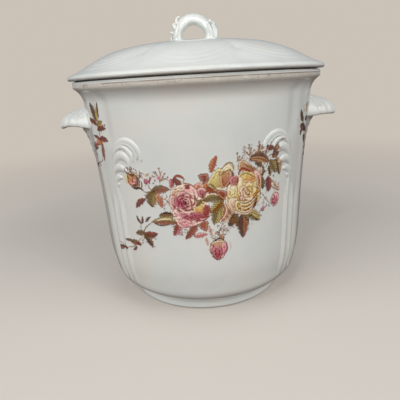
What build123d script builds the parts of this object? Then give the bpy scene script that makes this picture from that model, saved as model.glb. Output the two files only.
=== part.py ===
"""Covered toilet-set jar in white ironstone china: a tall crock and a lift-off lid.

Frame: millimetres, +Z up, the resting plane is Z = 0 and the jar's axis is Z.
The front of the jar faces -Y and its two lug handles stand out along -X and +X.
Every piece that the potter made and luted on is a solid of its own.
"""
from build123d import *
import os

os.makedirs("parts", exist_ok=True)

# Driving dimensions
RIM_RADIUS = 135.0
RIM_TOP_Z = 244.3
RIM_BAND_HEIGHT = 6.3
WALL = 6.0
FOOT_RADIUS = 91.6
FOOT_HEIGHT = 11.5
FOOT_WIDTH = 14.0
FLOOR_THICKNESS = 7.0
BELLY_RADIUS = 120.4
NECK_RADIUS = 125.8
NECK_Z = 222.0
LID_RADIUS = 139.7
LID_CROWN_Z = 281.0
LID_THICKNESS = 5.0
BOW_TOP_Z = 309.3
HANDLE_REACH = 160.0

# Rim and lid seat
RIM_BAND_Z = RIM_TOP_Z - RIM_BAND_HEIGHT
RIM_BEVEL = 1.0
RIM_INNER_RADIUS = RIM_RADIUS - 7.0
SEAT_INNER_RADIUS = RIM_INNER_RADIUS + 0.5
SEAT_OUTER_RADIUS = RIM_RADIUS - 1.5
LIP_BOTTOM_Z = RIM_TOP_Z + 1.7
LIP_TOP_Z = LIP_BOTTOM_Z + 4.0
LIP_EDGE = 0.8

# Ring under the lid that drops inside the rim
FLANGE_RADIUS = RIM_INNER_RADIUS - 3.5
FLANGE_WIDTH = 5.5
FLANGE_TOP_Z = RIM_TOP_Z + 3.7
FLANGE_BOTTOM_Z = RIM_TOP_Z - 7.8
FLANGE_ROUND = 1.5

# Lug handles: a quarter of a hollow ellipsoid standing on the wall
LUG_CENTRE_X = 119.0
LUG_BASE_Z = 196.0
LUG_HEIGHT = 21.5
LUG_HALF_WIDTH = 35.0
LUG_SHELL = 6.0

# Leaf bracket under each lug
BRACKET_CENTRE = (119.0, 0.0, 190.0)
BRACKET_HALF_SIZE = (10.0, 14.0, 46.0)

# Bow handle on the lid
BOW_HALF_THICKNESS = 5.75
BOW_HALF_DEPTH = 7.0
BOW_CENTRE_Z = 285.0
BOW_RADIUS = BOW_TOP_Z - BOW_HALF_THICKNESS - BOW_CENTRE_Z
BOW_LEG_BOTTOM_Z = 278.4

# Raised ornament on the wall, mirrored left to right and front to back
ORNAMENT_ANGLE = 45.0
PLUME_PROUD = 2.6
REED_PROUD = 1.6
REED_WIDTH = 23.0
REED_GROOVE = 3.0
REED_GROOVE_DEPTH = 1.1
REED_BOTTOM_Z = 24.0
REED_TOP_Z = 150.0

FAR = 200.0
CUTTER = 400.0


def outer_wall(proud=0.0):
    """Closed half outline of the jar's filled outer form, with its skin moved out by proud."""
    foot_curve = [
        (FOOT_RADIUS + proud, FOOT_HEIGHT),
        (106.0 + proud, 21.6),
        (112.0 + proud, 35.0),
        (115.2 + proud, 52.0),
        (117.0 + proud, 74.0),
        (BELLY_RADIUS + proud, 148.0),
        (124.2 + proud, 196.0),
        (NECK_RADIUS + proud, NECK_Z),
    ]
    with BuildSketch(Plane.XZ) as outline:
        with BuildLine():
            Line((0, FOOT_HEIGHT), foot_curve[0])
            wall = Spline(*foot_curve)
            cove = TangentArc(wall @ 1, (RIM_RADIUS + proud, RIM_BAND_Z), tangent=wall % 1)
            Line(cove @ 1, (RIM_RADIUS + proud, RIM_TOP_Z - RIM_BEVEL))
            Line((RIM_RADIUS + proud, RIM_TOP_Z - RIM_BEVEL), (RIM_RADIUS + proud - RIM_BEVEL, RIM_TOP_Z))
            Line((RIM_RADIUS + proud - RIM_BEVEL, RIM_TOP_Z), (0, RIM_TOP_Z))
            Line((0, RIM_TOP_Z), (0, FOOT_HEIGHT))
        make_face()
    return outline.sketch


def inner_wall():
    """Closed half outline of the hollow inside the jar."""
    floor_z = FOOT_HEIGHT + FLOOR_THICKNESS
    curve = [
        (86.0, floor_z),
        (99.5, 25.5),
        (106.0, 37.0),
        (109.2, 52.0),
        (111.0, 74.0),
        (BELLY_RADIUS - WALL, 148.0),
        (124.2 - WALL, 196.0),
        (NECK_RADIUS - WALL, NECK_Z),
    ]
    with BuildSketch(Plane.XZ) as outline:
        with BuildLine():
            Line((0, floor_z), curve[0])
            wall = Spline(*curve)
            cove = TangentArc(wall @ 1, (RIM_INNER_RADIUS, RIM_BAND_Z), tangent=wall % 1)
            Line(cove @ 1, (RIM_INNER_RADIUS, RIM_TOP_Z))
            Line((RIM_INNER_RADIUS, RIM_TOP_Z), (0, RIM_TOP_Z))
            Line((0, RIM_TOP_Z), (0, floor_z))
        make_face()
    return outline.sketch


def turned(outline):
    """Solid of revolution of a half outline about the jar's axis, with its seam line on -X."""
    return Rot(0, 0, 180) * revolve(outline, axis=Axis.Z)


def ring(inner_radius, outer_radius, bottom_z, top_z):
    """Plain ring between two radii and two heights."""
    height = top_z - bottom_z
    outer = Pos(0, 0, bottom_z) * Cylinder(outer_radius, height, align=(Align.CENTER, Align.CENTER, Align.MIN))
    inner = Pos(0, 0, bottom_z) * Cylinder(inner_radius, height, align=(Align.CENTER, Align.CENTER, Align.MIN))
    return outer - inner


def ellipsoid(centre, half_size):
    """Ellipsoid with its three half axes along X, Y and Z, and its seam line on -X."""
    return Pos(*centre) * scale(Rot(0, 0, 180) * Sphere(1.0), by=half_size)


def block_above(bottom_z):
    """Large block whose bottom face is at bottom_z."""
    return Pos(0, 0, bottom_z) * Box(CUTTER, CUTTER, CUTTER, align=(Align.CENTER, Align.CENTER, Align.MIN))


def make_foot_ring():
    """Ring foot with a small round on its lower edges."""
    foot = ring(FOOT_RADIUS - FOOT_WIDTH, FOOT_RADIUS, 0.0, FOOT_HEIGHT)
    lower_edges = foot.edges().filter_by(GeomType.CIRCLE).group_by(Axis.Z)[0]
    return fillet(lower_edges, 1.5)


def make_lug(filled_jar):
    """Lug handle on +X: a hollow quarter ellipsoid with an open underside."""
    centre = (LUG_CENTRE_X, 0.0, LUG_BASE_Z)
    half_size = (HANDLE_REACH - LUG_CENTRE_X, LUG_HALF_WIDTH, LUG_HEIGHT)
    hollow_size = tuple(size - LUG_SHELL for size in half_size)
    outer_quarter = Pos(*centre) * Box(CUTTER, CUTTER, CUTTER, align=(Align.MIN, Align.CENTER, Align.MIN))
    solid_lug = (ellipsoid(centre, half_size) & outer_quarter) - filled_jar
    return solid_lug - ellipsoid(centre, hollow_size)


def make_bracket(filled_jar):
    """Leaf-shaped bracket on +X that runs down the wall from under the lug."""
    leaf = ellipsoid(BRACKET_CENTRE, BRACKET_HALF_SIZE)
    return leaf - block_above(LUG_BASE_Z) - filled_jar


def make_plume(raised_jar, filled_jar):
    """Curled plume on +X; it leans towards +Y, which is the jar's middle once it is turned."""
    outline = make_face(
        Spline(
            (-6.0, 143.0),
            (3.0, 152.0),
            (4.0, 165.0),
            (14.0, 170.0),
            (37.0, 170.0),
            (36.0, 183.0),
            (21.0, 195.0),
            (5.0, 192.0),
            (-5.0, 178.0),
            (-8.0, 158.0),
            periodic=True,
        )
    )
    tool = extrude(Plane.YZ * outline, FAR)
    return (raised_jar & tool) - filled_jar


def make_reeds(raised_jar, filled_jar):
    """Pair of upright reeds on +X, parted by a groove, running down to the foot."""
    height = REED_TOP_Z - REED_BOTTOM_Z
    lift = Pos(FAR / 2, 0, REED_BOTTOM_Z)
    strip = lift * Box(FAR, REED_WIDTH, height, align=(Align.CENTER, Align.CENTER, Align.MIN))
    pair = (raised_jar & strip) - filled_jar
    groove_jar = turned(outer_wall(REED_PROUD - REED_GROOVE_DEPTH))
    groove = lift * Box(FAR, REED_GROOVE, CUTTER, align=(Align.CENTER, Align.CENTER, Align.MIN))
    return pair - (groove - groove_jar)


def lid_outline():
    """Closed half outline of the lid: a low crown, a sloping shoulder and a thin lip."""
    top_curve = [
        (0.0, LID_CROWN_Z),
        (37.0, 280.0),
        (60.0, 277.2),
        (88.0, 272.0),
        (103.0, 266.8),
        (118.0, 259.7),
        (132.0, 252.6),
        (LID_RADIUS - LIP_EDGE, LIP_TOP_Z),
    ]
    under_curve = [
        (114.0, 255.2),
        (103.0, 261.0),
        (88.0, 266.6),
        (60.0, 272.1),
        (37.0, 275.0),
        (0.0, LID_CROWN_Z - LID_THICKNESS),
    ]
    flange_inner = FLANGE_RADIUS - FLANGE_WIDTH
    with BuildSketch(Plane.XZ) as outline:
        with BuildLine():
            Spline(*top_curve)
            Polyline(
                top_curve[-1],
                (LID_RADIUS, LIP_TOP_Z - LIP_EDGE),
                (LID_RADIUS, LIP_BOTTOM_Z + LIP_EDGE),
                (LID_RADIUS - LIP_EDGE, LIP_BOTTOM_Z),
                (SEAT_OUTER_RADIUS, RIM_TOP_Z),
                (SEAT_INNER_RADIUS, RIM_TOP_Z),
                (SEAT_INNER_RADIUS, FLANGE_TOP_Z),
                (flange_inner - 2.0, FLANGE_TOP_Z),
                under_curve[0],
            )
            Spline(*under_curve)
            Line(under_curve[-1], top_curve[0])
        make_face()
    return outline.sketch


def make_flange():
    """Locating ring under the lid, rounded on its lower edges."""
    flange = ring(FLANGE_RADIUS - FLANGE_WIDTH, FLANGE_RADIUS, FLANGE_BOTTOM_Z, FLANGE_TOP_Z)
    lower_edges = flange.edges().filter_by(GeomType.CIRCLE).group_by(Axis.Z)[0]
    return fillet(lower_edges, FLANGE_ROUND)


def make_bow(lid_shell):
    """Arched bow handle: an oval bar bent in a half circle over two short legs."""
    with BuildLine() as path:
        left_leg = Line((-BOW_RADIUS, 0, BOW_LEG_BOTTOM_Z), (-BOW_RADIUS, 0, BOW_CENTRE_Z))
        top = ThreePointArc(left_leg @ 1, (0, 0, BOW_CENTRE_Z + BOW_RADIUS), (BOW_RADIUS, 0, BOW_CENTRE_Z))
        Line(top @ 1, (BOW_RADIUS, 0, BOW_LEG_BOTTOM_Z))
    section = Plane((-BOW_RADIUS, 0, BOW_LEG_BOTTOM_Z), x_dir=(1, 0, 0), z_dir=(0, 0, 1))
    bar = section * Ellipse(BOW_HALF_THICKNESS, BOW_HALF_DEPTH)
    return sweep(bar, path=path.line) - lid_shell


def make_bow_leaf(lid_shell, bow, centre, half_size):
    """Leaf that hugs one leg of the bow handle and curls outwards."""
    return ellipsoid(centre, half_size) - lid_shell - bow


def keep(node, shape):
    """Label one finished solid and write its STEP file."""
    solids = shape.solids()
    if len(solids) != 1:
        raise ValueError(f"{node} should be one solid, not {len(solids)}")
    solid = solids[0]
    solid.label = node
    export_step(solid, f"parts/{node}.step")


def main():
    """Build every piece and write it."""
    filled_jar = turned(outer_wall())
    crock = filled_jar - turned(inner_wall())
    keep("crock_body", crock - block_above(NECK_Z))
    keep("crock_rim", crock & block_above(NECK_Z))
    keep("foot_ring", make_foot_ring())

    lug = make_lug(filled_jar)
    bracket = make_bracket(filled_jar)
    for side, angle in (("right", 0.0), ("left", 180.0)):
        turn = Rot(0, 0, angle)
        keep(f"{side}_handle", turn * lug)
        keep(f"{side}_handle_leaf", turn * bracket)

    plume = make_plume(turned(outer_wall(PLUME_PROUD)), filled_jar)
    reeds = make_reeds(turned(outer_wall(REED_PROUD)), filled_jar) - plume
    mirrored_plume = mirror(plume, about=Plane.XZ)
    mirrored_reeds = mirror(reeds, about=Plane.XZ)
    places = (
        ("front_right", -90.0 + ORNAMENT_ANGLE, True),
        ("front_left", -90.0 - ORNAMENT_ANGLE, False),
        ("back_right", 90.0 - ORNAMENT_ANGLE, False),
        ("back_left", 90.0 + ORNAMENT_ANGLE, True),
    )
    for place, angle, mirrored in places:
        turn = Rot(0, 0, angle)
        keep(f"{place}_plume", turn * (mirrored_plume if mirrored else plume))
        keep(f"{place}_reeds", turn * (mirrored_reeds if mirrored else reeds))

    lid_shell = turned(lid_outline())
    keep("lid_shell", lid_shell)
    keep("lid_flange", make_flange())
    bow = make_bow(lid_shell)
    keep("lid_bow_handle", bow)
    keep("bow_leaf_left", make_bow_leaf(lid_shell, bow, (-22.0, 0, 287.0), (5.2, 6.0, 9.0)))
    keep("bow_leaf_right", make_bow_leaf(lid_shell, bow, (22.0, 0, 289.5), (5.4, 6.0, 10.5)))


main()
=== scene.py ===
"""Looks of a covered toilet-set jar in white ironstone china.

The crock is a tall round jar with a coved, gilded rim, two shell-shaped lug handles, four curled plume
reliefs over paired reeds, and a transfer print of roses. The lid is a low crown with an arched bow handle.
Sizes are in millimetres until a mesh is made; the front of the jar faces -Y.
"""

import logging
import math
from dataclasses import dataclass, field
from enum import Enum

import bmesh
import bpy
import numpy as np
from mathutils import Matrix


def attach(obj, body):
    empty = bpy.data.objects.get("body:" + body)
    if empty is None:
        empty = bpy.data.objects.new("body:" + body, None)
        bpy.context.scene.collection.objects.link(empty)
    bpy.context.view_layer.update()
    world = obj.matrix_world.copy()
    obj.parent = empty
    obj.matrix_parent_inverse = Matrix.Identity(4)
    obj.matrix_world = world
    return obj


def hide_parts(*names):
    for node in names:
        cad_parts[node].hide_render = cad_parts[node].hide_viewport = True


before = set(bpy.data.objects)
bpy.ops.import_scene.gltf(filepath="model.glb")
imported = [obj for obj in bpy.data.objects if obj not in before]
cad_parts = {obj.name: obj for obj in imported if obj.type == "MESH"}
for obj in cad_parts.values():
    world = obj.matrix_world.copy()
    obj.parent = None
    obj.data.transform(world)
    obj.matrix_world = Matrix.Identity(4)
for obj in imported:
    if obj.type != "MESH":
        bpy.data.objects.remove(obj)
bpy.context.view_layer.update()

logging.basicConfig(level=logging.INFO, format="%(message)s")
LOG = logging.getLogger("covered_jar")

MM = 0.001
BLEND = {"data_type": "RGBA"}
MULTIPLY = {"operation": "MULTIPLY"}
# Distances round the wall, in millimetres, are taken on a circle of this radius.
WALL_ARC_RADIUS = 122.0
Array = np.ndarray
Places = str | list[tuple[float, ...]] | np.ndarray
Piece = bpy.types.Object
Material = bpy.types.Material
Node = bpy.types.Node
NodeTree = bpy.types.NodeTree
Socket = bpy.types.NodeSocket


# ---- small mathematics


def smoothstep(low: float, high: float, value: Array) -> Array:
    """Rise from 0 at low to 1 at high with level ends: 3t^2 - 2t^3, where t is the clipped share."""
    share = np.clip((np.asarray(value, dtype=float) - low) / (high - low), 0.0, 1.0)
    return share * share * (3.0 - 2.0 * share)


def bump(value: Array, centre: float, half_width: float) -> Array:
    """Rounded hill of height 1: the squared cosine over half a wave, and 0 outside its width."""
    share = np.clip(np.abs((value - centre) / half_width), 0.0, 1.0)
    return np.cos(share * math.pi / 2.0) ** 2


class SmoothCurve:
    """Natural cubic spline y(x) through a few knots, extended in straight lines past its ends."""

    def __init__(self, knots_x: tuple[float, ...], knots_y: tuple[float, ...]) -> None:
        """Solve the spline's second derivatives once.

        Args:
            knots_x: Rising positions of the knots.
            knots_y: Values at the knots.
        """
        self.x = np.asarray(knots_x, dtype=float)
        self.y = np.asarray(knots_y, dtype=float)
        step = np.diff(self.x)
        slope = np.diff(self.y) / step
        size = len(self.x)
        matrix = np.eye(size)
        right = np.zeros(size)
        inner = np.arange(1, size - 1)
        matrix[inner, inner - 1] = step[:-1]
        matrix[inner, inner] = 2.0 * (step[:-1] + step[1:])
        matrix[inner, inner + 1] = step[1:]
        right[inner] = 6.0 * np.diff(slope)
        self.curvature = np.linalg.solve(matrix, right)

    def __call__(self, x: Array) -> Array:
        """Value of the spline: the straight chord plus the cubic terms of its two second derivatives."""
        x = np.asarray(x, dtype=float)
        place = np.clip(np.searchsorted(self.x, x) - 1, 0, len(self.x) - 2)
        step = self.x[place + 1] - self.x[place]
        inside = np.clip(x, self.x[0], self.x[-1])
        before = (self.x[place + 1] - inside) / step
        after = 1.0 - before
        cubic = (before**3 - before) * self.curvature[place] + (after**3 - after) * self.curvature[place + 1]
        value = before * self.y[place] + after * self.y[place + 1] + cubic * step**2 / 6.0
        return value + (x - inside) * self.end_slope(x)

    def end_slope(self, x: Array) -> Array:
        """Slope of the straight run that continues the spline past the nearer end."""
        step = np.diff(self.x)
        chord = np.diff(self.y) / step
        first = chord[0] - step[0] * self.curvature[1] / 6.0
        last = chord[-1] + step[-1] * self.curvature[-2] / 6.0
        middle = (self.x[0] + self.x[-1]) / 2.0
        return np.where(np.asarray(x) < middle, first, last)


def places(marks: Places) -> Array:
    """Rows of numbers, such as places on the wall; as text they read "a,z a,z", in millimetres."""
    if isinstance(marks, str):
        marks = [tuple(map(float, row.split(","))) for row in marks.split()]
    return np.array(marks, dtype=float)


def curve_through(marks: Array, count: int) -> Array:
    """Smooth path through given points.

    Each coordinate is a natural cubic spline of the distance along the chords.

    Args:
        marks: Points that the path passes through, in order, a row for each.
        count: Number of samples along it.

    Returns:
        Array (count, dimensions) of evenly spread samples.
    """
    along = np.concatenate([[0.0], np.cumsum(np.linalg.norm(np.diff(marks, axis=0), axis=1))])
    stations = np.linspace(0.0, along[-1], count)
    return np.stack([SmoothCurve(tuple(along), tuple(column))(stations) for column in marks.T], axis=1)


def arc_points(centre: tuple[float, float], radius: float, start: float, end: float, count: int) -> Array:
    """Points (r, z) on a circle about centre, from one angle to another in degrees."""
    angle = np.radians(np.linspace(start, end, count))
    return np.stack([centre[0] + radius * np.cos(angle), centre[1] + radius * np.sin(angle)], axis=1)


def turn(radius: Array, angle: Array, height: Array) -> Array:
    """Points at a radius and height, at an angle from the front (-Y) that grows towards +X."""
    shape = np.broadcast_shapes(np.shape(radius), np.shape(angle), np.shape(height))
    spread = [radius * np.sin(angle), -radius * np.cos(angle), height]
    return np.stack([np.broadcast_to(part, shape) for part in spread], axis=-1)


# ---- meshes


def grid_faces(rows: int, columns: int, wrap_columns: bool = False, wrap_rows: bool = False) -> Array:
    """Quads of a grid whose vertex (i, j) is number i * columns + j; row by column turns outward."""
    i, j = np.meshgrid(
        np.arange(rows if wrap_rows else rows - 1),
        np.arange(columns if wrap_columns else columns - 1),
        indexing="ij",
    )
    i, j = i.ravel(), j.ravel()
    next_i, next_j = (i + 1) % rows, (j + 1) % columns
    corners = [i * columns + j, i * columns + next_j, next_i * columns + next_j, next_i * columns + j]
    return np.stack(corners, axis=1)


def build_mesh(name: str, points: Array, faces: Array, weld: bool = True) -> Piece:
    """Put arrays into a new mesh object at the origin.

    Args:
        name: Name of the piece.
        points: Vertices (n, 3) in millimetres.
        faces: Vertex indices (m, 4) of the quads.
        weld: Merge doubled vertices and make the faces point outwards.

    Returns:
        The linked object, with smooth shading.
    """
    mesh = bpy.data.meshes.new(name)
    mesh.from_pydata((points.reshape(-1, 3) * MM).tolist(), [], faces.tolist())
    if weld:
        work = bmesh.new()
        work.from_mesh(mesh)
        bmesh.ops.remove_doubles(work, verts=work.verts, dist=1e-7)
        bmesh.ops.dissolve_degenerate(work, edges=work.edges, dist=1e-8)
        bmesh.ops.recalc_face_normals(work, faces=work.faces)
        work.to_mesh(mesh)
        work.free()
    mesh.update()
    mesh.polygons.foreach_set("use_smooth", np.ones(len(mesh.polygons), dtype=bool))
    piece = bpy.data.objects.new(name, mesh)
    bpy.context.scene.collection.objects.link(piece)
    return piece


def revolve(name: str, profile: Array, columns: int, shift: Array | None = None) -> Piece:
    """Surface of revolution of a profile (r, z) about the jar's axis.

    Args:
        name: Name of the piece.
        profile: Points (n, 2) from the underside's centre, round the outside, to the inside's centre.
        columns: Number of steps round the axis.
        shift: Optional (n, columns, 2) offset of each point, in r and z.

    Returns:
        The closed object.
    """
    angle = np.linspace(-math.pi, math.pi, columns, endpoint=False)
    radius = np.repeat(profile[:, :1], columns, axis=1)
    height = np.repeat(profile[:, 1:], columns, axis=1)
    if shift is not None:
        radius = radius + shift[..., 0]
        height = height + shift[..., 1]
    points = turn(radius, angle[None, :], height)
    closed = bool(np.allclose(profile[0], profile[-1]))
    if closed:
        points = points[:-1]
    faces = grid_faces(len(points), columns, wrap_columns=True, wrap_rows=closed)
    return build_mesh(name, points, faces)


def sweep(
    name: str, path: Array, half_width: Array, half_depth: Array, sides: int,
    ribs: float = 0.0, count: int = 0,
) -> Piece:
    """Rounded bar along a path that lies near an X-Z plane.

    Each ring is an oval in the plane across the path: half_depth along Y, half_width across it, and its
    radius swells by ribs times the cosine of count times its angle. Both ends close on the path itself.

    Args:
        name: Name of the piece.
        path: Points (n, 3) in millimetres.
        half_width: Half size of the oval in the path's own plane, for each point.
        half_depth: Half size along Y, for each point.
        sides: Vertices round the oval.
        ribs: Relative height of the ribs along the bar.
        count: Number of ribs.

    Returns:
        The closed object.
    """
    direction = np.gradient(path, axis=0)
    direction /= np.linalg.norm(direction, axis=1, keepdims=True)
    depth_axis = np.array([0.0, 1.0, 0.0])
    across = np.cross(depth_axis, direction)
    across /= np.linalg.norm(across, axis=1, keepdims=True)
    angle = np.linspace(0.0, 2.0 * math.pi, sides, endpoint=False)
    swell = 1.0 + ribs * np.cos(count * angle)
    ring = across[:, None, :] * (half_width[:, None] * np.cos(angle) * swell)[..., None]
    ring = ring + depth_axis * (half_depth[:, None] * np.sin(angle) * swell)[..., None]
    points = path[:, None, :] + ring
    first = np.repeat(path[:1, None, :], sides, axis=1)
    last = np.repeat(path[-1:, None, :], sides, axis=1)
    points = np.concatenate([first, points, last])
    return build_mesh(name, points, grid_faces(len(points), sides, wrap_columns=True))


def join(name: str, pieces: list[Piece]) -> Piece:
    """Join several mesh objects into one named object."""
    keep = pieces[0]
    with bpy.context.temp_override(active_object=keep, selected_editable_objects=pieces):
        bpy.ops.object.join()
    keep.name = name
    keep.data.name = name
    return keep


# ---- the forms


@dataclass(frozen=True)
class JarForm:
    """Outer form of the crock: a smooth wall, a cove and a rim band, with soft moulding on the wall."""

    neck_z: float = 222.0
    band_bottom_z: float = 238.0
    rim_top_z: float = 244.3
    rim_radius: float = 135.0
    rim_inner_radius: float = 128.0
    wall_thickness: float = 6.0
    knots_z: tuple[float, ...] = (11.5, 21.6, 35.0, 52.0, 74.0, 148.0, 196.0, 222.0)
    knots_r: tuple[float, ...] = (91.6, 106.0, 112.0, 115.2, 117.0, 120.4, 124.2, 125.8)
    ornament_angle: float = 45.0

    def radius(self, z: Array) -> Array:
        """Radius of the plain wall at a height, with the cove above the neck."""
        z = np.asarray(z, dtype=float)
        wall = SmoothCurve(self.knots_z, self.knots_r)(np.minimum(z, self.neck_z))
        flare = self.rim_radius - self.knots_r[-1]
        rise = self.band_bottom_z - self.neck_z
        cove_radius = (flare**2 + rise**2) / (2.0 * flare)
        above = np.clip(z - self.neck_z, 0.0, rise)
        return wall + cove_radius - np.sqrt(cove_radius**2 - above**2)

    def moulding(self, angle: Array, z: Array) -> Array:
        """Height of the wall's soft moulding.

        A shallow upright valley runs from each plume up to the cove, and a low swelling borders each handle's
        side panel. Both fade out at the cove and at the foot.
        """
        turned = np.degrees(np.arctan2(np.abs(np.sin(angle)), np.abs(np.cos(angle))))
        upper = smoothstep(178.0, 200.0, z) * (1.0 - smoothstep(226.0, 236.0, z))
        lower = smoothstep(16.0, 40.0, z) * (1.0 - smoothstep(222.0, 234.0, z))
        valley = -1.3 * bump(turned, self.ornament_angle + 0.5, 5.5) * upper
        swelling = 1.1 * bump(turned, 60.0, 5.5) * lower
        groove = -1.1 * bump(turned, 55.0, 1.9) * lower * (1.0 - smoothstep(108.0, 140.0, z))
        return valley + swelling + groove

    def across(self, angle: Array) -> Array:
        """Distance along the wall from the nearest ornament's upright line, growing towards the middle."""
        turned = np.arctan2(np.abs(np.sin(angle)), np.abs(np.cos(angle)))
        return (math.radians(self.ornament_angle) - turned) * WALL_ARC_RADIUS

    def surface(self, angle: Array, z: Array, proud: Array | float = 0.0) -> Array:
        """Points on the wall, moved out along its slope's normal by the moulding and proud."""
        slope = (self.radius(z + 0.05) - self.radius(z - 0.05)) / 0.1
        length = np.sqrt(1.0 + slope**2)
        lift = self.moulding(angle, z) + proud
        return turn(self.radius(z) + lift / length, angle, z - lift * slope / length)


@dataclass(frozen=True)
class PlumeForm:
    """Raised ornament beside each corner of the jar: stacked folds that lean towards the front, and beads.

    Across is the distance along the wall from the ornament's upright line, growing towards the jar's middle.
    Each fold has its height over the wall and a smooth line of "across,z,half width", with a rounded back.
    """

    folds: tuple[tuple[float, str], ...] = (
        (1.3, "0.5,165,2.2 4,177,3.4 11.5,186,3.9 21.5,189.8,3.9 30,187.4,3.6 35.6,180.6,3 37.4,173,1.6"),
        (1.4, "12,184.4,1.6 20,187.4,2.3 27,185.6,2.7 31.4,180.2,2.4 33,174,1.4"),
        (1.7, "3,175.5,2 10,182,2.8 17,184.4,3 22.8,181.8,2.9 26.8,177,2.4 28,171.4,1.2"),
        (2.0, "-1,160.5,2.2 2.6,168.6,3.8 9.4,174.8,5 16.8,175.4,5 22,171.2,3.6 23.6,166,1.4"),
        (1.8, "-3,150,2 -1,157.6,3 4.4,162.6,4.2 11.5,163.6,4.2 18,160.6,2"),
        (1.1, "-3.4,144,1.6 -0.6,150.4,3.4 4.6,153.2,3.2 9,153.4,1.8"),
        (0.8, "-3.6,137,1.4 -1.6,143.4,2.6 2.4,145.6,1.8"),
        (1.2, "-1.4,141,1.2 -1.2,131,1.9 -1,120,1.2"),
    )

    def fold(self, across: Array, z: Array, height: float, line: str) -> Array:
        """Height of one fold: its height times one less the square of the distance in half widths."""
        path = curve_through(places(line), 40)
        low, high = path[:, :2].min(axis=0) - 5.0, path[:, :2].max(axis=0) + 5.0
        near = (across > low[0]) & (across < high[0]) & (z > low[1]) & (z < high[1])
        raised = np.zeros(across.shape)
        gap = np.hypot(across[near][:, None] - path[:, 0], z[near][:, None] - path[:, 1]) / path[:, 2]
        raised[near] = height * np.clip(1.0 - gap.min(axis=-1) ** 2, 0.0, 1.0) ** 0.8
        return raised

    def relief(self, across: Array, z: Array) -> Array:
        """Whole ornament: the greatest height of its folds at each place, over a low swelling under them."""
        across, z = np.broadcast_arrays(across, z)
        level = np.hypot((across - 15.0) / 20.0, (z - 173.0) / 19.0)
        mound = 0.6 * (1.0 - smoothstep(0.55, 1.0, level))
        folds = [self.fold(across, z, height, line) for height, line in self.folds]
        return np.maximum.reduce([mound, *folds])


@dataclass(frozen=True)
class ReedForm:
    """Two upright reeds below each plume."""

    bottom_z: float = 22.0
    top_z: float = 141.0

    def relief(self, across: Array, z: Array) -> Array:
        """Height of the reeds: two rounded ridges whose distances shrink with the wall towards the foot."""
        fade = smoothstep(self.bottom_z, self.bottom_z + 26.0, z)
        top = 1.0 - smoothstep(self.top_z - 34.0, self.top_z, z)
        near = 1.9 * bump(across, 0.0, 6.4)
        far = 1.7 * bump(across, -12.6, 6.4)
        return (near + far) * top * fade


def relief_patch(
    name: str, jar: JarForm, corner: float, across: tuple[float, float], z: tuple[float, float],
    steps: tuple[int, int], relief: "PlumeForm | ReedForm | HandleLeafForm",
) -> Piece:
    """Raised ornament as a closed plaque whose edges sink into the wall.

    The front is the wall's surface moved out by the relief, and by -0.5 mm where the relief is nothing. The
    back lies 1.4 mm inside the wall.

    Args:
        name: Name of the piece.
        jar: Form of the wall.
        corner: Angle of the ornament's upright line from the front, in degrees.
        across: Limits across the ornament, towards the jar's middle, in millimetres.
        z: Limits in height.
        steps: Number of points across and up.
        relief: Form whose relief(across, z) gives the height over the wall.

    Returns:
        The closed object.
    """
    towards_middle = -1.0 if math.sin(math.radians(corner)) * math.cos(math.radians(corner)) > 0.0 else 1.0
    width = np.linspace(across[0], across[1], steps[0])
    height = np.linspace(z[0], z[1], steps[1])
    width, height = np.meshgrid(width, height)
    angle = math.radians(corner) + towards_middle * width / WALL_ARC_RADIUS
    raised = relief.relief(width, height)
    raised = raised - 0.5 * (1.0 - smoothstep(0.0, 0.3, raised))
    front = jar.surface(angle, height, raised)
    back = jar.surface(angle, height, -1.4)
    loops = np.concatenate([front, back[:, ::-1]], axis=1)
    middle = (front + back) / 2.0
    ends = np.concatenate([middle, middle[:, ::-1]], axis=1)
    points = np.concatenate([ends[:1], loops, ends[-1:]])
    return build_mesh(name, points, grid_faces(len(points), points.shape[1], wrap_columns=True))


# ---- finishes


def linear(hex_colour: str) -> tuple[float, float, float, float]:
    """Turn an sRGB hex colour into linear red, green, blue and alpha."""
    parts = [int(hex_colour[i : i + 2], 16) / 255.0 for i in (1, 3, 5)]
    values = [part / 12.92 if part <= 0.04045 else ((part + 0.055) / 1.055) ** 2.4 for part in parts]
    return (values[0], values[1], values[2], 1.0)


def add_node(
    tree: NodeTree, kind: str, settings: dict | None = None, stops: tuple[tuple[float, str], ...] = (),
    **links: object,
) -> Node:
    """Add a node with its settings and its inputs.

    Args:
        tree: Node tree that gets the node.
        kind: Node type without its ShaderNode prefix, such as TexNoise.
        settings: Properties of the node itself.
        stops: Places and hex colours of a colour ramp.
        links: Inputs by socket name, with _ for a space, or by number, as in _0; each is a socket to link or
            a value to set.

    Returns:
        The new node.
    """
    node = tree.nodes.new("ShaderNode" + kind)
    for key, value in (settings or {}).items():
        setattr(node, key, value)
    for _ in stops[2:]:
        node.color_ramp.elements.new(0.5)
    for element, (place, colour) in zip(node.color_ramp.elements if stops else (), stops):
        element.position, element.color = place, linear(colour)
    for key, value in links.items():
        name = key.replace("_", " ")
        socket = node.inputs[int(name) if name[1:].isdigit() else name]
        if isinstance(value, Socket):
            tree.links.new(value, socket)
        else:
            socket.default_value = value
    return node


def new_material(name: str) -> tuple[Material, NodeTree, Node]:
    """New material with its node tree and its Principled shader."""
    material = bpy.data.materials.new(name)
    material.use_nodes = True
    return material, material.node_tree, material.node_tree.nodes["Principled BSDF"]


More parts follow.
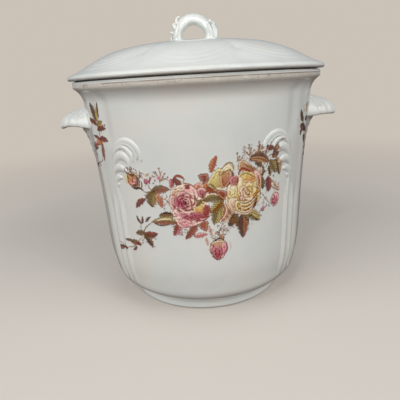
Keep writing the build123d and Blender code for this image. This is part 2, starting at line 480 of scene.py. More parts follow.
@dataclass(frozen=True)
class GlazedIronstone:
    """White earthenware dipped in a clear lead glaze and fired.

    The eye reads a cool off-white body under a thin wet gloss: slow mottling where the glaze pooled, a faint
    orange-peel skin and a few iron specks; broken lines of painted shade darken the creases near the foot and
    under the rim.
    """

    name: str = "glazed_ironstone"
    body: str = "#d6d8d3"
    pooled: str = "#d1d5d1"
    warm: str = "#d8d7cf"
    speck: str = "#8a7a66"
    crease_shade: str = "#b7ab98"
    roughness: float = 0.12
    ior: float = 1.55
    mottle_mm: float = 55.0
    peel_mm: float = 5.0
    speck_mm: float = 7.0
    crease_shade_z: tuple[float, ...] = ()
    crease_shade_width: float = 1.6

    def colour(self, tree: NodeTree) -> tuple[Socket, Socket]:
        """Add the colour nodes.

        Returns:
            The colour socket and the object coordinate socket.
        """
        place = add_node(tree, "TexCoord").outputs["Object"]
        mottle = add_node(
            tree, "TexNoise", Vector=place, Scale=1.0 / (self.mottle_mm * MM), Detail=3.0,
            Roughness=0.55,
        ).outputs["Fac"]
        stops = ((0.34, self.pooled), (0.52, self.body), (0.70, self.warm))
        colour = add_node(tree, "ValToRGB", stops=stops, Fac=mottle).outputs["Color"]
        cells = add_node(tree, "TexVoronoi", Vector=place, Scale=1.0 / (self.speck_mm * MM))
        tone = add_node(tree, "SeparateColor", Color=cells.outputs["Color"]).outputs["Red"]
        chosen = add_node(tree, "Math", {"operation": "GREATER_THAN"}, _0=tone, _1=0.93).outputs[0]
        dot = add_node(
            tree, "MapRange", Value=cells.outputs["Distance"], From_Min=0.035, From_Max=0.075,
            To_Min=0.55, To_Max=0.0,
        ).outputs[0]
        speck = add_node(tree, "Math", MULTIPLY, _0=chosen, _1=dot).outputs[0]
        colour = add_node(tree, "Mix", BLEND, _0=speck, _6=colour, _7=linear(self.speck)).outputs[2]
        # Painted shade: a darker broken line at each crease height, where shade falls.
        for level in self.crease_shade_z:
            line = self.crease(tree, place, level)
            colour = add_node(tree, "Mix", BLEND, _0=line, _6=colour, _7=linear(self.crease_shade)).outputs[2]
        return colour, place

    def crease(self, tree: NodeTree, place: Socket, level: float) -> Socket:
        """Broken line of painted shade round the jar at one height in millimetres."""
        height = add_node(tree, "SeparateXYZ", Vector=place).outputs["Z"]
        gap = add_node(tree, "Math", {"operation": "SUBTRACT"}, _0=height, _1=level * MM).outputs[0]
        gap = add_node(tree, "Math", {"operation": "ABSOLUTE"}, _0=gap).outputs[0]
        near = add_node(
            tree, "MapRange", Value=gap, From_Min=0.0, From_Max=self.crease_shade_width * MM,
            To_Min=0.8, To_Max=0.0,
        ).outputs[0]
        patchy = add_node(tree, "TexNoise", Vector=place, Scale=1.0 / (9.0 * MM), Detail=4.0)
        return add_node(tree, "Math", MULTIPLY, _0=near, _1=patchy.outputs["Fac"]).outputs[0]

    def skin(self, tree: NodeTree, place: Socket) -> Socket:
        """Orange-peel skin of the glaze as a bump."""
        peel = add_node(tree, "TexNoise", Vector=place, Scale=1.0 / (self.peel_mm * MM), Detail=2.0)
        waves = add_node(tree, "TexNoise", Vector=place, Scale=1.0 / (38.0 * MM), Detail=1.0)
        height = add_node(
            tree, "Math", {"operation": "MULTIPLY_ADD"},
            _0=waves.outputs["Fac"], _1=6.0, _2=peel.outputs["Fac"],
        ).outputs[0]
        return add_node(tree, "Bump", Height=height, Strength=0.10, Distance=0.6 * MM).outputs[0]

    def material(self, printed: bool = False) -> Material:
        """Build the finished material.

        Args:
            printed: Lay the piece's ink attribute under the glaze: colour times (1 - cover), plus the ink.

        Returns:
            The material.
        """
        material, tree, shader = new_material(self.name)
        colour, place = self.colour(tree)
        if printed:
            ink = add_node(tree, "Attribute", {"attribute_name": "ink"})
            alpha = ink.outputs["Alpha"]
            bare = add_node(tree, "Math", {"operation": "SUBTRACT"}, _0=1.0, _1=alpha).outputs[0]
            colour = add_node(
                tree, "VectorMath", {"operation": "MULTIPLY_ADD"},
                _0=colour, _1=bare, _2=ink.outputs["Color"],
            ).outputs[0]
        tree.links.new(colour, shader.inputs["Base Color"])
        tree.links.new(self.skin(tree, place), shader.inputs["Normal"])
        wear = add_node(tree, "TexNoise", Vector=place, Scale=1.0 / (20.0 * MM), Detail=5.0)
        gloss = add_node(
            tree, "MapRange", Value=wear.outputs["Fac"], From_Min=0.3, From_Max=0.75,
            To_Min=self.roughness * 0.7, To_Max=self.roughness * 1.6,
        ).outputs[0]
        tree.links.new(gloss, shader.inputs["Roughness"])
        shader.inputs["IOR"].default_value = self.ior
        return material


@dataclass(frozen=True)
class WornGilding:
    """Bright gold brushed on the glaze and fired, then rubbed away by use.

    Most of the metal is gone: a beige stain is left, with gold where it is thick, brown specks, and in places
    a brown line along its upper edge.
    """

    name: str = "worn_gilding"
    stain: str = "#c4bdb1"
    gold: str = "#b08c56"
    bare: str = "#d0cbc1"
    speck: str = "#5e4a38"
    line_z: float = 240.9
    roughness: float = 0.22

    def material(self) -> Material:
        """Build the finished material."""
        material, tree, shader = new_material(self.name)
        place = add_node(tree, "TexCoord").outputs["Object"]
        rubbed = add_node(tree, "TexNoise", Vector=place, Scale=1.0 / (16.0 * MM), Detail=6.0, Roughness=0.65)
        fine = add_node(tree, "TexNoise", Vector=place, Scale=1.0 / (2.2 * MM), Detail=3.0)
        stops = ((0.36, self.bare), (0.47, self.stain), (0.63, self.stain), (0.73, self.gold))
        colour = add_node(tree, "ValToRGB", stops=stops, Fac=rubbed.outputs["Fac"]).outputs["Color"]
        dark = add_node(
            tree, "MapRange", Value=fine.outputs["Fac"], From_Min=0.64, From_Max=0.72, To_Max=0.8
        ).outputs[0]
        colour = add_node(tree, "Mix", BLEND, _0=dark, _6=colour, _7=linear(self.speck)).outputs[2]
        metal = add_node(
            tree, "MapRange", Value=rubbed.outputs["Fac"], From_Min=0.58, From_Max=0.72, To_Max=0.8
        ).outputs[0]
        patchy = add_node(tree, "TexNoise", Vector=place, Scale=1.0 / (55.0 * MM), Detail=2.0)
        height = add_node(tree, "SeparateXYZ", Vector=place).outputs["Z"]
        high = add_node(
            tree, "MapRange", Value=height, From_Min=self.line_z * MM,
            From_Max=(self.line_z + 0.5) * MM,
        ).outputs[0]
        long_gone = add_node(
            tree, "MapRange", Value=patchy.outputs["Fac"], From_Min=0.40, From_Max=0.48, To_Max=0.85
        ).outputs[0]
        line = add_node(tree, "Math", MULTIPLY, _0=high, _1=long_gone).outputs[0]
        colour = add_node(tree, "Mix", BLEND, _0=line, _6=colour, _7=linear(self.speck)).outputs[2]
        tree.links.new(colour, shader.inputs["Base Color"])
        tree.links.new(metal, shader.inputs["Metallic"])
        shader.inputs["Roughness"].default_value = self.roughness
        return material


@dataclass(frozen=True)
class PaleStage:
    """Plain matt floor, with no pattern, so that only the china carries colour.

    It is pale where it is seen; the light that it throws back on the china is a dark table's.
    """

    name: str = "pale_floor"
    colour: str = "#d6cfc6"
    table: str = "#6a564c"
    backdrop: str = "#cbc2b7"
    fade_m: tuple[float, float] = (0.25, 1.3)

    def material(self) -> Material:
        """Build the finished material; far from the jar, the floor takes the backdrop's colour when seen."""
        material, tree, shader = new_material(self.name)
        seen = add_node(tree, "LightPath").outputs["Is Camera Ray"]
        tone = add_node(tree, "Mix", BLEND, _0=seen, _6=linear(self.table), _7=linear(self.colour))
        tree.links.new(tone.outputs[2], shader.inputs["Base Color"])
        shader.inputs["Roughness"].default_value = 0.9
        place = add_node(tree, "TexCoord").outputs["Object"]
        reach = add_node(tree, "VectorMath", {"operation": "LENGTH"}, _0=place).outputs["Value"]
        far = add_node(
            tree, "MapRange", {"interpolation_type": "SMOOTHSTEP"}, Value=reach,
            From_Min=self.fade_m[0], From_Max=self.fade_m[1],
        ).outputs[0]
        fade = add_node(tree, "Math", MULTIPLY, _0=far, _1=seen).outputs[0]
        glow = add_node(tree, "Emission", Color=linear(self.backdrop), Strength=1.0)
        mixed = add_node(tree, "MixShader", Fac=fade)
        tree.links.new(shader.outputs[0], mixed.inputs[1])
        tree.links.new(glow.outputs[0], mixed.inputs[2])
        tree.links.new(mixed.outputs[0], tree.nodes["Material Output"].inputs["Surface"])
        return material


# ---- the crock


@dataclass(frozen=True)
class CrockShell:
    """Thrown body of the jar as one closed surface: underside, wall, cove, rim band, inner wall and floor."""

    jar: JarForm = field(default_factory=JarForm)
    columns: int = 440
    floor_z: float = 18.5
    floor_rounding: float = 14.0
    rim_rounding: float = 1.1

    def profile(self) -> tuple[Array, slice]:
        """Points (r, z) of the section, and which of them lie on the moulded wall."""
        jar = self.jar
        base = jar.knots_z[0]
        heights = np.concatenate([np.linspace(base, 30.0, 16), np.linspace(32.0, jar.band_bottom_z, 104)])
        wall = np.stack([jar.radius(heights), heights], axis=1)
        rounding = self.rim_rounding
        top, outer, inner = jar.rim_top_z, jar.rim_radius, jar.rim_inner_radius
        band = np.array([[outer, z] for z in (239.5, 241.0, top - rounding - 0.4)])
        lip_out = arc_points((outer - rounding, top - rounding), rounding, 0.0, 90.0, 6)
        lip_in = arc_points((inner + rounding, top - rounding), rounding, 90.0, 180.0, 6)
        low_z = self.floor_z + self.floor_rounding
        inside_z = np.linspace(240.0, low_z, 44)
        inside_r = jar.radius(np.minimum(inside_z, 226.0)) - jar.wall_thickness
        blend = smoothstep(214.0, 238.0, inside_z)
        inside_r = inside_r * (1.0 - blend) + inner * blend
        inside = np.stack([inside_r, inside_z], axis=1)
        low_r = float(inside_r[-1]) - self.floor_rounding
        corner = arc_points((low_r, low_z), self.floor_rounding, 0.0, -90.0, 10)[1:]
        floor = np.array([[r, self.floor_z] for r in (70.0, 40.0, 15.0, 0.0)])
        under = np.array([[r, base] for r in (0.0, 30.0, 60.0, 80.0)])
        moulded = slice(len(under), len(under) + len(wall))
        return np.concatenate([under, wall, band, lip_out, lip_in, inside, corner, floor]), moulded

    def build(self) -> Piece:
        """Revolve the section and move the wall's points to the moulded surface."""
        profile, moulded = self.profile()
        angle = np.linspace(-math.pi, math.pi, self.columns, endpoint=False)
        points = turn(profile[:, :1], angle[None, :], profile[:, 1:])
        points[moulded] = self.jar.surface(angle[None, :], profile[moulded, 1:])
        return build_mesh("crock_shell", points, grid_faces(len(points), self.columns, wrap_columns=True))


@dataclass(frozen=True)
class FootRing:
    """Ring that the jar stands on, softened at every edge; it takes the glaze all over, though the real tread
    is unglazed.
    """

    outer: float = 91.6
    inner: float = 77.6
    top_z: float = 12.1
    outer_rounding: float = 2.6
    inner_rounding: float = 2.2
    columns: int = 320

    def build(self) -> Piece:
        """Revolve the section: a slightly waisted outer face, rounded tread and upright inner face."""
        rise = np.linspace(0.0, 1.0, 12)
        out, into = self.outer_rounding, self.inner_rounding
        waist = -0.7 * np.sin(math.pi * rise) ** 2 - 0.4 * rise
        outside = np.stack([self.outer + waist, out + (self.top_z - out) * rise], axis=1)
        tread_out = arc_points((self.outer - out, out), out, -90.0, 0.0, 9)
        tread_in = arc_points((self.inner + into, into), into, 180.0, 270.0, 8)
        inside = np.array([[self.inner, z] for z in (self.top_z, 8.0, 4.0)])
        top = np.array([[self.outer - 2.0, self.top_z], [self.inner + 4.0, self.top_z]])
        section = np.concatenate([tread_out, outside[1:], top, inside, tread_in, tread_out[:1]])
        return revolve("foot_ring_glazed", section, self.columns)


@dataclass(frozen=True)
class RimGilding:
    """Band of worn gilding round the rim, a film 0.12 mm proud of the glaze."""

    jar: JarForm = field(default_factory=JarForm)
    bottom_z: float = 238.5
    top_z: float = 241.9
    film: float = 0.12
    columns: int = 440

    def build(self) -> Piece:
        """Revolve a thin closed section that sinks into the band at both edges."""
        z = np.linspace(self.bottom_z, self.top_z, 9)
        share = np.linspace(0.0, 1.0, 9)
        proud = self.film * np.sin(math.pi * share) ** 0.35 - 0.02
        front = np.stack([self.jar.rim_radius + proud, z], axis=1)
        back = np.array([[self.jar.rim_radius - 0.5, z] for z in np.linspace(self.top_z, self.bottom_z, 3)])
        return revolve("rim_gilding", np.concatenate([front, back, front[:1]]), self.columns)


@dataclass(frozen=True)
class LugForm:
    """Shell-shaped lug handle: a hollow quarter dome whose flutes fan from its root to its lip."""

    centre_x: float = 119.0
    lip_z: float = 197.6
    reach: float = 40.5
    half_width: float = 35.0
    rise: float = 20.0
    thickness: float = 5.6
    flutes: int = 9
    flute_height: float = 1.1
    sweep_degrees: float = 97.0
    lip_arch: float = 3.5
    root_depth: float = 3.2

    def dome(self, plan: Array, up: Array, shrink: float) -> Array:
        """Points on the quarter ellipsoid, smaller by shrink, at a plan direction and elevation in radians.

        The lip lifts in an arch on its two flanks, most at 60 degrees from the tip, and less up the dome.
        """
        arch = self.lip_arch * bump(np.abs(np.degrees(plan)), 58.0, 46.0) * np.cos(up) ** 3
        x = self.centre_x + (self.reach - shrink) * np.cos(up) * np.cos(plan)
        y = (self.half_width - shrink) * np.cos(up) * np.sin(plan)
        z = self.lip_z + arch + (self.rise - shrink) * np.sin(up)
        return np.stack(np.broadcast_arrays(x, y, z), axis=-1)

    def outward(self, plan: Array, up: Array) -> Array:
        """Unit normal of the ellipsoid: each coordinate's share over its half axis."""
        x = np.cos(up) * np.cos(plan) / self.reach
        y = np.cos(up) * np.sin(plan) / self.half_width
        z = np.sin(up) / self.rise
        normal = np.stack(np.broadcast_arrays(x, y, z), axis=-1)
        return normal / np.linalg.norm(normal, axis=-1, keepdims=True)

    def build(self, name: str, side: float, jar: JarForm) -> Piece:
        """Build the lug as one closed shell.

        Each column's loop runs down the outside from the root, round the lip and up the inside. The flutes
        are the absolute cosine of the plan angle. A fillet of falling exponential shape joins the dome to the
        wall, and no point goes deeper into the wall than root_depth, so nothing shows inside the jar.

        Args:
            name: Name of the piece.
            side: 1 for the handle at +X, -1 for the one at -X.
            jar: Form of the wall.

        Returns:
            The closed object.
        """
        plan = np.radians(np.linspace(-self.sweep_degrees, self.sweep_degrees, 181))[None, :]
        up = np.radians(np.linspace(86.0, 0.0, 44))[:, None]
        outer = self.dome(plan, up, 0.0)
        normal = self.outward(plan, up)
        ridge = np.abs(np.cos(self.flutes * plan)) - 0.62
        fan = smoothstep(0.16, 0.5, np.cos(up)) * smoothstep(-0.12, 0.10, np.cos(plan))
        outer = outer + normal * (self.flute_height * ridge * fan)[..., None]
        gap = np.hypot(outer[..., 0], outer[..., 1]) - jar.radius(outer[..., 2])
        outer = outer + normal * (2.6 * np.exp(-np.maximum(gap, 0.0) / 3.4))[..., None]
        inner = self.dome(plan, up[::-1], self.thickness)
        top, low = outer[-1], inner[0]
        middle, half = (top + low) / 2.0, (top - low) / 2.0
        round_lip = np.radians(np.linspace(0.0, 180.0, 12))[1:-1, None, None]
        down = np.array([0.0, 0.0, -1.0]) * self.thickness * 0.42
        lip = middle + half * np.cos(round_lip) + down * np.sin(round_lip)
        loops = np.concatenate([outer, lip, inner])
        ends = (outer[:1] + inner[-1:]) / 2.0
        points = np.concatenate([ends, loops, ends])
        cap = (points + points[::-1]) / 2.0
        points = np.concatenate([cap[:, :1], points, cap[:, -1:]], axis=1)
        deep = (jar.radius(points[..., 2]) - self.root_depth) / np.hypot(points[..., 0], points[..., 1])
        points[..., :2] *= np.maximum(deep, 1.0)[..., None]
        points = points * np.array([side, 1.0, 1.0])
        return build_mesh(name, points, grid_faces(len(points), points.shape[1]))


@dataclass(frozen=True)
class HandleLeafForm:
    """Acanthus bracket that runs down the wall from each lug, with a mid rib and slanting lobes."""

    knots_z: tuple[float, ...] = (145.0, 152.0, 165.0, 182.0, 191.0, 199.0)
    proud: tuple[float, ...] = (0.0, 2.6, 5.6, 7.4, 10.5, 15.0)
    half_width: tuple[float, ...] = (1.5, 5.0, 9.5, 13.0, 14.5, 15.0)

    def relief(self, across: Array, z: Array) -> Array:
        """Height: a rounded ridge, tapered in width and height, with a rib and lobes that slant downwards."""
        width = np.maximum(SmoothCurve(self.knots_z, self.half_width)(z), 0.6)
        height = np.maximum(SmoothCurve(self.knots_z, self.proud)(z), 0.0)
        side = np.clip(np.abs(across) / width, 0.0, 1.0)
        ridge = (1.0 - side**2) ** 0.75
        lobes = 0.10 * np.cos((z - 0.9 * np.abs(across)) * 2.0 * math.pi / 7.5) * side * (1.0 - side)
        rib = 0.09 * bump(across, 0.0, 2.2)
        return height * (ridge * (0.88 + rib + 4.0 * lobes))


@dataclass(frozen=True)
class Ornaments:
    """Everything raised on the crock's wall, so that the print can follow it."""

    jar: JarForm = field(default_factory=JarForm)
    plume: PlumeForm = field(default_factory=PlumeForm)
    reeds: ReedForm = field(default_factory=ReedForm)

    def relief(self, across: Array, z: Array) -> Array:
        """Greater of the plume's and the reeds' heights."""
        return np.maximum(self.plume.relief(across, z), self.reeds.relief(across, z))

    def skin(self, angle: Array, z: Array, film: Array | float) -> Array:
        """Points on the wall with its ornaments, film above them."""
        return self.jar.surface(angle, z, self.relief(self.jar.across(angle), z) + film)


# ---- the print


class Ink(Enum):
    """Enamel inks of the transfer print, as they look under the glaze."""

    PEAT = "#46320c"
    OLIVE = "#735a1e"
    SAGE = "#957836"
    MOSS = "#b89e50"
    BARK = "#3a1a08"
    BROWN = "#6a3610"
    UMBER = "#8a5826"
    RUST = "#8e3414"
    SIENNA = "#9c4e2e"
    APRICOT = "#cb8244"
    BRICK = "#962f1c"
    MAROON = "#5c180a"
    WINE = "#6c202a"
    CRIMSON = "#9c303c"
    ROSE = "#ac4660"
    PINK = "#cc7888"
    BLUSH = "#e6b8ae"
    CREAM = "#f0e4cc"
    BUTTER = "#dfcf84"
    GOLD = "#c6942e"
    OCHRE = "#a46a22"
    TAN = "#c49a6e"
    MAUVE = "#a4665a"
    SLATE = "#7c5434"

    def tone(self) -> Array:
        """Linear red, green and blue of the ink."""
        return np.array(linear(self.value)[:3])


(PEAT, OLIVE, SAGE, MOSS, BARK, BROWN, UMBER, RUST, SIENNA, APRICOT, BRICK, MAROON, WINE, CRIMSON, ROSE, PINK,
 BLUSH, CREAM, BUTTER, GOLD, OCHRE, TAN, MAUVE, SLATE) = Ink


def closed_curve(marks: Array, count: int = 14) -> Array:
    """Closed smooth outline: a Catmull-Rom cubic from each mark to the next, with count samples on each."""
    before, after, beyond = np.roll(marks, 1, axis=0), np.roll(marks, -1, axis=0), np.roll(marks, -2, axis=0)
    t = np.linspace(0.0, 1.0, count, endpoint=False)[None, :, None]
    before, start, after, beyond = (part[:, None, :] for part in (before, marks, after, beyond))
    cubic = 3.0 * (start - after) + beyond - before
    square = 2.0 * before - 5.0 * start + 4.0 * after - beyond
    return (start + 0.5 * t * (after - before + t * (square + t * cubic))).reshape(-1, 2)


def nearest(place: Array, line: Array) -> tuple[Array, Array]:
    """Distance of each place to a line's samples, and the share of the line where the nearest one lies."""
    gap = np.hypot(place[..., None, 0] - line[:, 0], place[..., None, 1] - line[:, 1])
    return gap.min(axis=-1), gap.argmin(axis=-1) / max(len(line) - 1, 1)


def enclosed(place: Array, outline: Array) -> Array:
    """Whether each place is inside an outline: a level ray from it meets the line an odd count of times."""
    following = np.roll(outline, -1, axis=0)
    x, y = place[..., None, 0], place[..., None, 1]
    spans = (outline[:, 1] > y) != (following[:, 1] > y)
    rise = np.where(following[:, 1] == outline[:, 1], 1e-9, following[:, 1] - outline[:, 1])
    crossing = outline[:, 0] + (following[:, 0] - outline[:, 0]) * (y - outline[:, 1]) / rise
    return np.sum(spans & (x < crossing), axis=-1) % 2 == 1


@dataclass
class InkSheet:
    """Sheet of transfer ink on the crock's wall, painted on a grid of colour and cover.

    A place on it is (a, z): a is the distance round the wall from the front's middle towards +X, taken on a
    circle of 122 mm, and z is the height. The colour is linear and already multiplied by the cover.
    """

    left: float
    right: float
    bottom: float
    top: float
    step: float = 0.45
    seed: int = 5
    film: float = 0.06

    def __post_init__(self) -> None:
        """Make the empty grid and the paper's grain."""
        self.a = np.arange(self.left, self.right, self.step)
        self.z = np.arange(self.bottom, self.top, self.step)
        shape = (len(self.z), len(self.a))
        self.colour = np.zeros((*shape, 3))
        self.cover = np.zeros(shape)
        self.grain = np.random.default_rng(self.seed).random(shape)

    def window(self, marks: Array, margin: float) -> tuple[tuple[slice, slice], Array]:
        """Part of the grid around some marks, and its places, which waver by a third of a millimetre."""
        low, high = marks.min(axis=0) - margin, marks.max(axis=0) + margin
        columns = slice(*np.searchsorted(self.a, (low[0], high[0])))
        rows = slice(*np.searchsorted(self.z, (low[1], high[1])))
        a, z = np.meshgrid(self.a[columns], self.z[rows])
        waver_a = 0.22 * np.sin(z * 1.9 + a * 0.7) + 0.14 * np.sin(z * 4.3 - a * 1.7)
        waver_z = 0.22 * np.sin(a * 2.1 - z * 0.6) + 0.14 * np.sin(a * 4.7 + z * 1.3)
        return (rows, columns), np.stack([a + waver_a, z + waver_z], axis=-1)

    def lay(self, area: tuple[slice, slice], cover: Array, colour: Array) -> None:
        """Lay ink over what is there; the grain lets a little of the ground through."""
        cover = np.clip(cover, 0.0, 1.0) * (0.88 + 0.09 * self.grain[area])
        self.colour[area] = self.colour[area] * (1.0 - cover[..., None]) + colour * cover[..., None]
        self.cover[area] = cover + self.cover[area] * (1.0 - cover)

    def stroke(
        self, points: Places, width: float, ink: Ink, cover: float = 1.0, blunt: float = 0.35
    ) -> None:
        """Brush stroke on a smooth curve, widest in the middle.

        Args:
            points: Places that it passes through.
            width: Greatest width in millimetres.
            ink: Its ink.
            cover: How much of the ground it hides.
            blunt: Share of the width that is left at both ends.
        """
        marks = places(points)
        length = float(np.sum(np.hypot(*np.diff(marks, axis=0).T)))
        line = curve_through(marks, max(int(length / 0.35), 3))
        area, place = self.window(line, width)
        gap, share = nearest(place, line)
        half = width / 2.0 * (blunt + (1.0 - blunt) * np.sin(math.pi * (0.06 + 0.88 * share)))
        self.lay(area, cover * smoothstep(0.28, -0.28, gap - half), ink.tone())

    def petal(
        self, points: Places, light: Ink, dark: Ink, edge: Ink | None = None,
        toward: tuple[float, float] = (0.0, -1.0), lines: float = 0.7, rim: float = 1.0, cover: float = 1.0,
    ) -> None:
        """Closed patch that darkens one way, with a ragged outline, pale rim, uneven wash and fine lines.

        Args:
            points: Outline, in order.
            light: Ink at the light side.
            dark: Ink at the dark side.
            edge: Ink of the outline and the lines; none draws no outline.
            toward: Direction in which it darkens.
            lines: Strength of the lines.
            rim: Width of the outline in millimetres.
            cover: How much of the ground it hides.
        """
        outline = closed_curve(places(points))
        area, place = self.window(outline, 1.0)
        gap, _ = nearest(place, outline)
        a, z = place[..., 0], place[..., 1]
        ragged = 0.34 * np.sin(a * 2.3 + 1.3 * z) * np.sin(z * 2.9 - a)
        depth = np.where(enclosed(place, outline), gap, -gap) + ragged
        heading = np.asarray(toward) / np.hypot(*toward)
        reach = outline @ heading
        share = smoothstep(reach.min(), reach.max(), place @ heading)[..., None]
        colour = light.tone() * (1.0 - share) + dark.tone() * share
        wash = np.sin(a * 1.1 + 2.0 * np.sin(z * 0.7)) * np.sin(z * 1.3 + 0.8)
        colour = colour * (1.06 + 0.20 * wash[..., None])
        if edge is not None:
            side = place @ np.array([heading[1], -heading[0]]) + 0.7 * np.sin(place @ heading * 0.8)
            wave = depth + 0.5 * np.sin(a * 0.9 + z * 0.5) - 0.2
            contour = smoothstep(0.42, 0.9, np.cos(wave * 2.0 * math.pi / 2.6)) * smoothstep(7.0, 3.0, depth)
            hatch = smoothstep(0.1, 0.8, np.cos(side * 2.0 * math.pi / 2.2)) * share[..., 0] ** 0.6
            engraved = np.minimum(lines * (1.5 * contour + 0.7 * hatch), 0.9)
            pale = 0.66 * smoothstep(rim * 0.5, rim * 0.9, depth) * smoothstep(rim + 1.1, rim + 0.5, depth)
            pale = pale * float(smoothstep(5.0, 18.0, np.ptp(outline, axis=0).min()))
            colour = colour + (CREAM.tone() - colour) * pale[..., None]
            drawn = 0.95 * smoothstep(rim * 0.75, rim * 0.3, depth)
            drawn = np.maximum(drawn, engraved * (1.0 - 0.8 * pale))[..., None]
            colour = colour * (1.0 - drawn) + edge.tone() * drawn
        self.lay(area, cover * smoothstep(-0.25, 0.25, depth), colour)

    def leaf(
        self, points: Places, width: float, light: Ink, dark: Ink, bend: float = 0.0, edge: Ink = BARK,
        rib: Ink | None = None, cover: float = 1.0,
    ) -> None:
        """Pointed leaf with a toothed, pale-rimmed edge, slanting veins and one side darker than the other.

        Its half width is 2.79 x^0.65 (1 - x)^0.85 of half the width, where x runs from base to tip, and its
        mid rib is a parabola.

        Args:
            points: Base, where the stalk meets it, and tip.
            width: Greatest width in millimetres.
            light: Ink of the side on the left of the way from base to tip.
            dark: Ink of the other side.
            bend: Rise of the mid rib to the left, as a share of the length.
            edge: Ink of the edge and the veins.
            rib: Ink of the mid rib; the edge's own when none.
            cover: How much of the ground it hides.
        """
        ends = places(points)
        length = float(np.hypot(*(ends[1] - ends[0])))
        along = (ends[1] - ends[0]) / length
        area, place = self.window(ends, width / 2.0 + abs(bend) * length + 1.0)
        x = (place - ends[0]) @ along / length
        inside = np.clip(x, 1e-4, 1.0 - 1e-4)
        y = (place - ends[0]) @ np.array([-along[1], along[0]])
        y = y - 4.0 * bend * length * inside * (1.0 - inside)
        teeth = 1.04 + 0.12 * np.sin(x * length * 2.0 * math.pi / 2.4)
        teeth = teeth + 0.10 * np.sin(x * length * 1.1 + np.sign(y))
        half = width / 2.0 * 2.79 * inside**0.65 * (1.0 - inside) ** 0.85 * teeth
        depth = half - np.abs(y)
        side = smoothstep(-0.6, 0.6, y)[..., None]
        colour = light.tone() * side + dark.tone() * (1.0 - side)
        pale = 0.40 * smoothstep(0.35, 0.7, depth) * smoothstep(1.6, 1.0, depth) * smoothstep(3.0, 5.2, half)
        colour = colour + (CREAM.tone() - colour) * pale[..., None]
        veins = 0.85 * smoothstep(0.0, 0.8, np.cos((x * length - 1.1 * np.abs(y)) * 2.0 * math.pi / 2.8))
        marked = np.maximum(0.95 * smoothstep(0.65, 0.25, depth), veins * (1.0 - pale))[..., None]
        colour = colour * (1.0 - marked) + edge.tone() * marked
        ribbed = (0.9 * smoothstep(0.5, 0.2, np.abs(y)) * smoothstep(1.0, 0.8, x))[..., None]
        colour = colour * (1.0 - ribbed) + (rib or edge).tone() * ribbed
        shape = smoothstep(-0.25, 0.25, half - np.abs(y)) * ((x > 0.0) & (x < 1.0))
        self.lay(area, cover * shape, colour)

    def rose(
        self, centre: tuple[float, float], radii: tuple[float, ...], lip: tuple[Ink, Ink],
        body: tuple[Ink, Ink], base: tuple[Ink, Ink], edge: Ink, phase: float = 0.0,
    ) -> None:
        """Coiled heart of a rose: rings of petals about a centre, each with a pale lip and a dark base.

        The outer edge of ring k is its radius times 0.86 + 0.26 |sin(n (angle - phase) / 2)|, where n grows
        with the ring, and each colour runs from its left ink to its right one with the cosine of the angle.

        Args:
            centre: Place of the heart.
            radii: Radii of the rings, the smallest first.
            lip: Left and right ink of the lips.
            body: Left and right ink of the petals' middle.
            base: Left and right ink where a petal goes under the next.
            edge: Ink of the fine outline.
            phase: Turn of the innermost ring in radians.
        """
        middle = np.array([centre], dtype=float)
        area, place = self.window(middle, radii[-1] * 1.15 + 1.0)
        offset = place - middle[0]
        radius, angle = np.hypot(offset[..., 0], offset[..., 1]), np.arctan2(offset[..., 1], offset[..., 0])
        right = (0.5 + 0.5 * np.cos(angle - 0.3))[..., None]
        tones = [first.tone() * (1.0 - right) + second.tone() * right for first, second in (lip, body, base)]
        edges = [size * (0.86 + 0.26 * np.abs(np.sin((3 + k) / 2.0 * (angle - phase - 1.3 * k))))
                 for k, size in enumerate(radii)]
        for k in range(len(radii) - 1, -1, -1):
            inner = edges[k - 1] if k else np.zeros_like(radius)
            share = np.clip((radius - inner) / (edges[k] - inner), 0.0, 1.0)[..., None]
            colour = tones[2] + (tones[1] - tones[2]) * smoothstep(0.12, 0.42, share)
            colour = colour + (tones[0] - colour) * smoothstep(0.40, 0.72, share)
            thick = 0.65 + 0.35 * np.sin(5.0 * angle + 2.0 * k)
            drawn = 0.9 * smoothstep(thick + 0.2, thick - 0.25, edges[k] - radius)[..., None]
            colour = colour * (1.0 - drawn) + edge.tone() * drawn
            self.lay(area, smoothstep(0.25, -0.25, radius - edges[k]), colour)

    def dots(self, points: Places, radius: float, ink: Ink, cover: float = 1.0) -> None:
        """Round dots."""
        for centre in places(points):
            area, place = self.window(centre[None, :], radius + 1.0)
            gap = np.hypot(place[..., 0] - centre[0], place[..., 1] - centre[1])
            self.lay(area, cover * smoothstep(0.3, -0.3, gap - radius), ink.tone())

    def sprig(self, points: Places, ink: Ink, bud: Ink, size: float) -> None:
        """Fine stalks from the first place to each of the others, each with a bud at its tip."""
        root, *tips = places(points)
        for tip in tips:
            middle = ((root[0] + tip[0]) / 2.0 + (tip[1] - root[1]) * 0.08, (root[1] + tip[1]) / 2.0)
            self.stroke([root, middle, tip], 1.0, ink)
        self.dots(tips, size, bud)

    def flecks(
        self, centre: tuple[float, float], spread: tuple[float, float], count: int, inks: tuple[Ink, ...],
        seed: int,
    ) -> None:
        """Short curved strokes scattered about a centre, like the tips of fern and moss.

        Args:
            centre: Middle of the patch.
            spread: Its half width and half height.
            count: Number of strokes.
            inks: Inks taken in turn.
            seed: Seed of the scatter.
        """
        draw = np.random.default_rng(seed)
        for k in range(count):
            turned, out = draw.uniform(0.0, 2.0 * math.pi), math.sqrt(draw.uniform(0.02, 1.0))
            root = np.array(centre) + np.array(spread) * out * np.array([math.cos(turned), math.sin(turned)])
            heading = turned + draw.normal(0.0, 0.5)
            tip = root + draw.uniform(1.6, 4.2) * np.array([math.cos(heading), math.sin(heading)])
            middle = (root + tip) / 2.0 + draw.normal(0.0, 0.4, 2)
            width = draw.uniform(0.7, 1.3)
            self.stroke([root, middle, tip], width, inks[k % len(inks)], draw.uniform(0.6, 1.0))

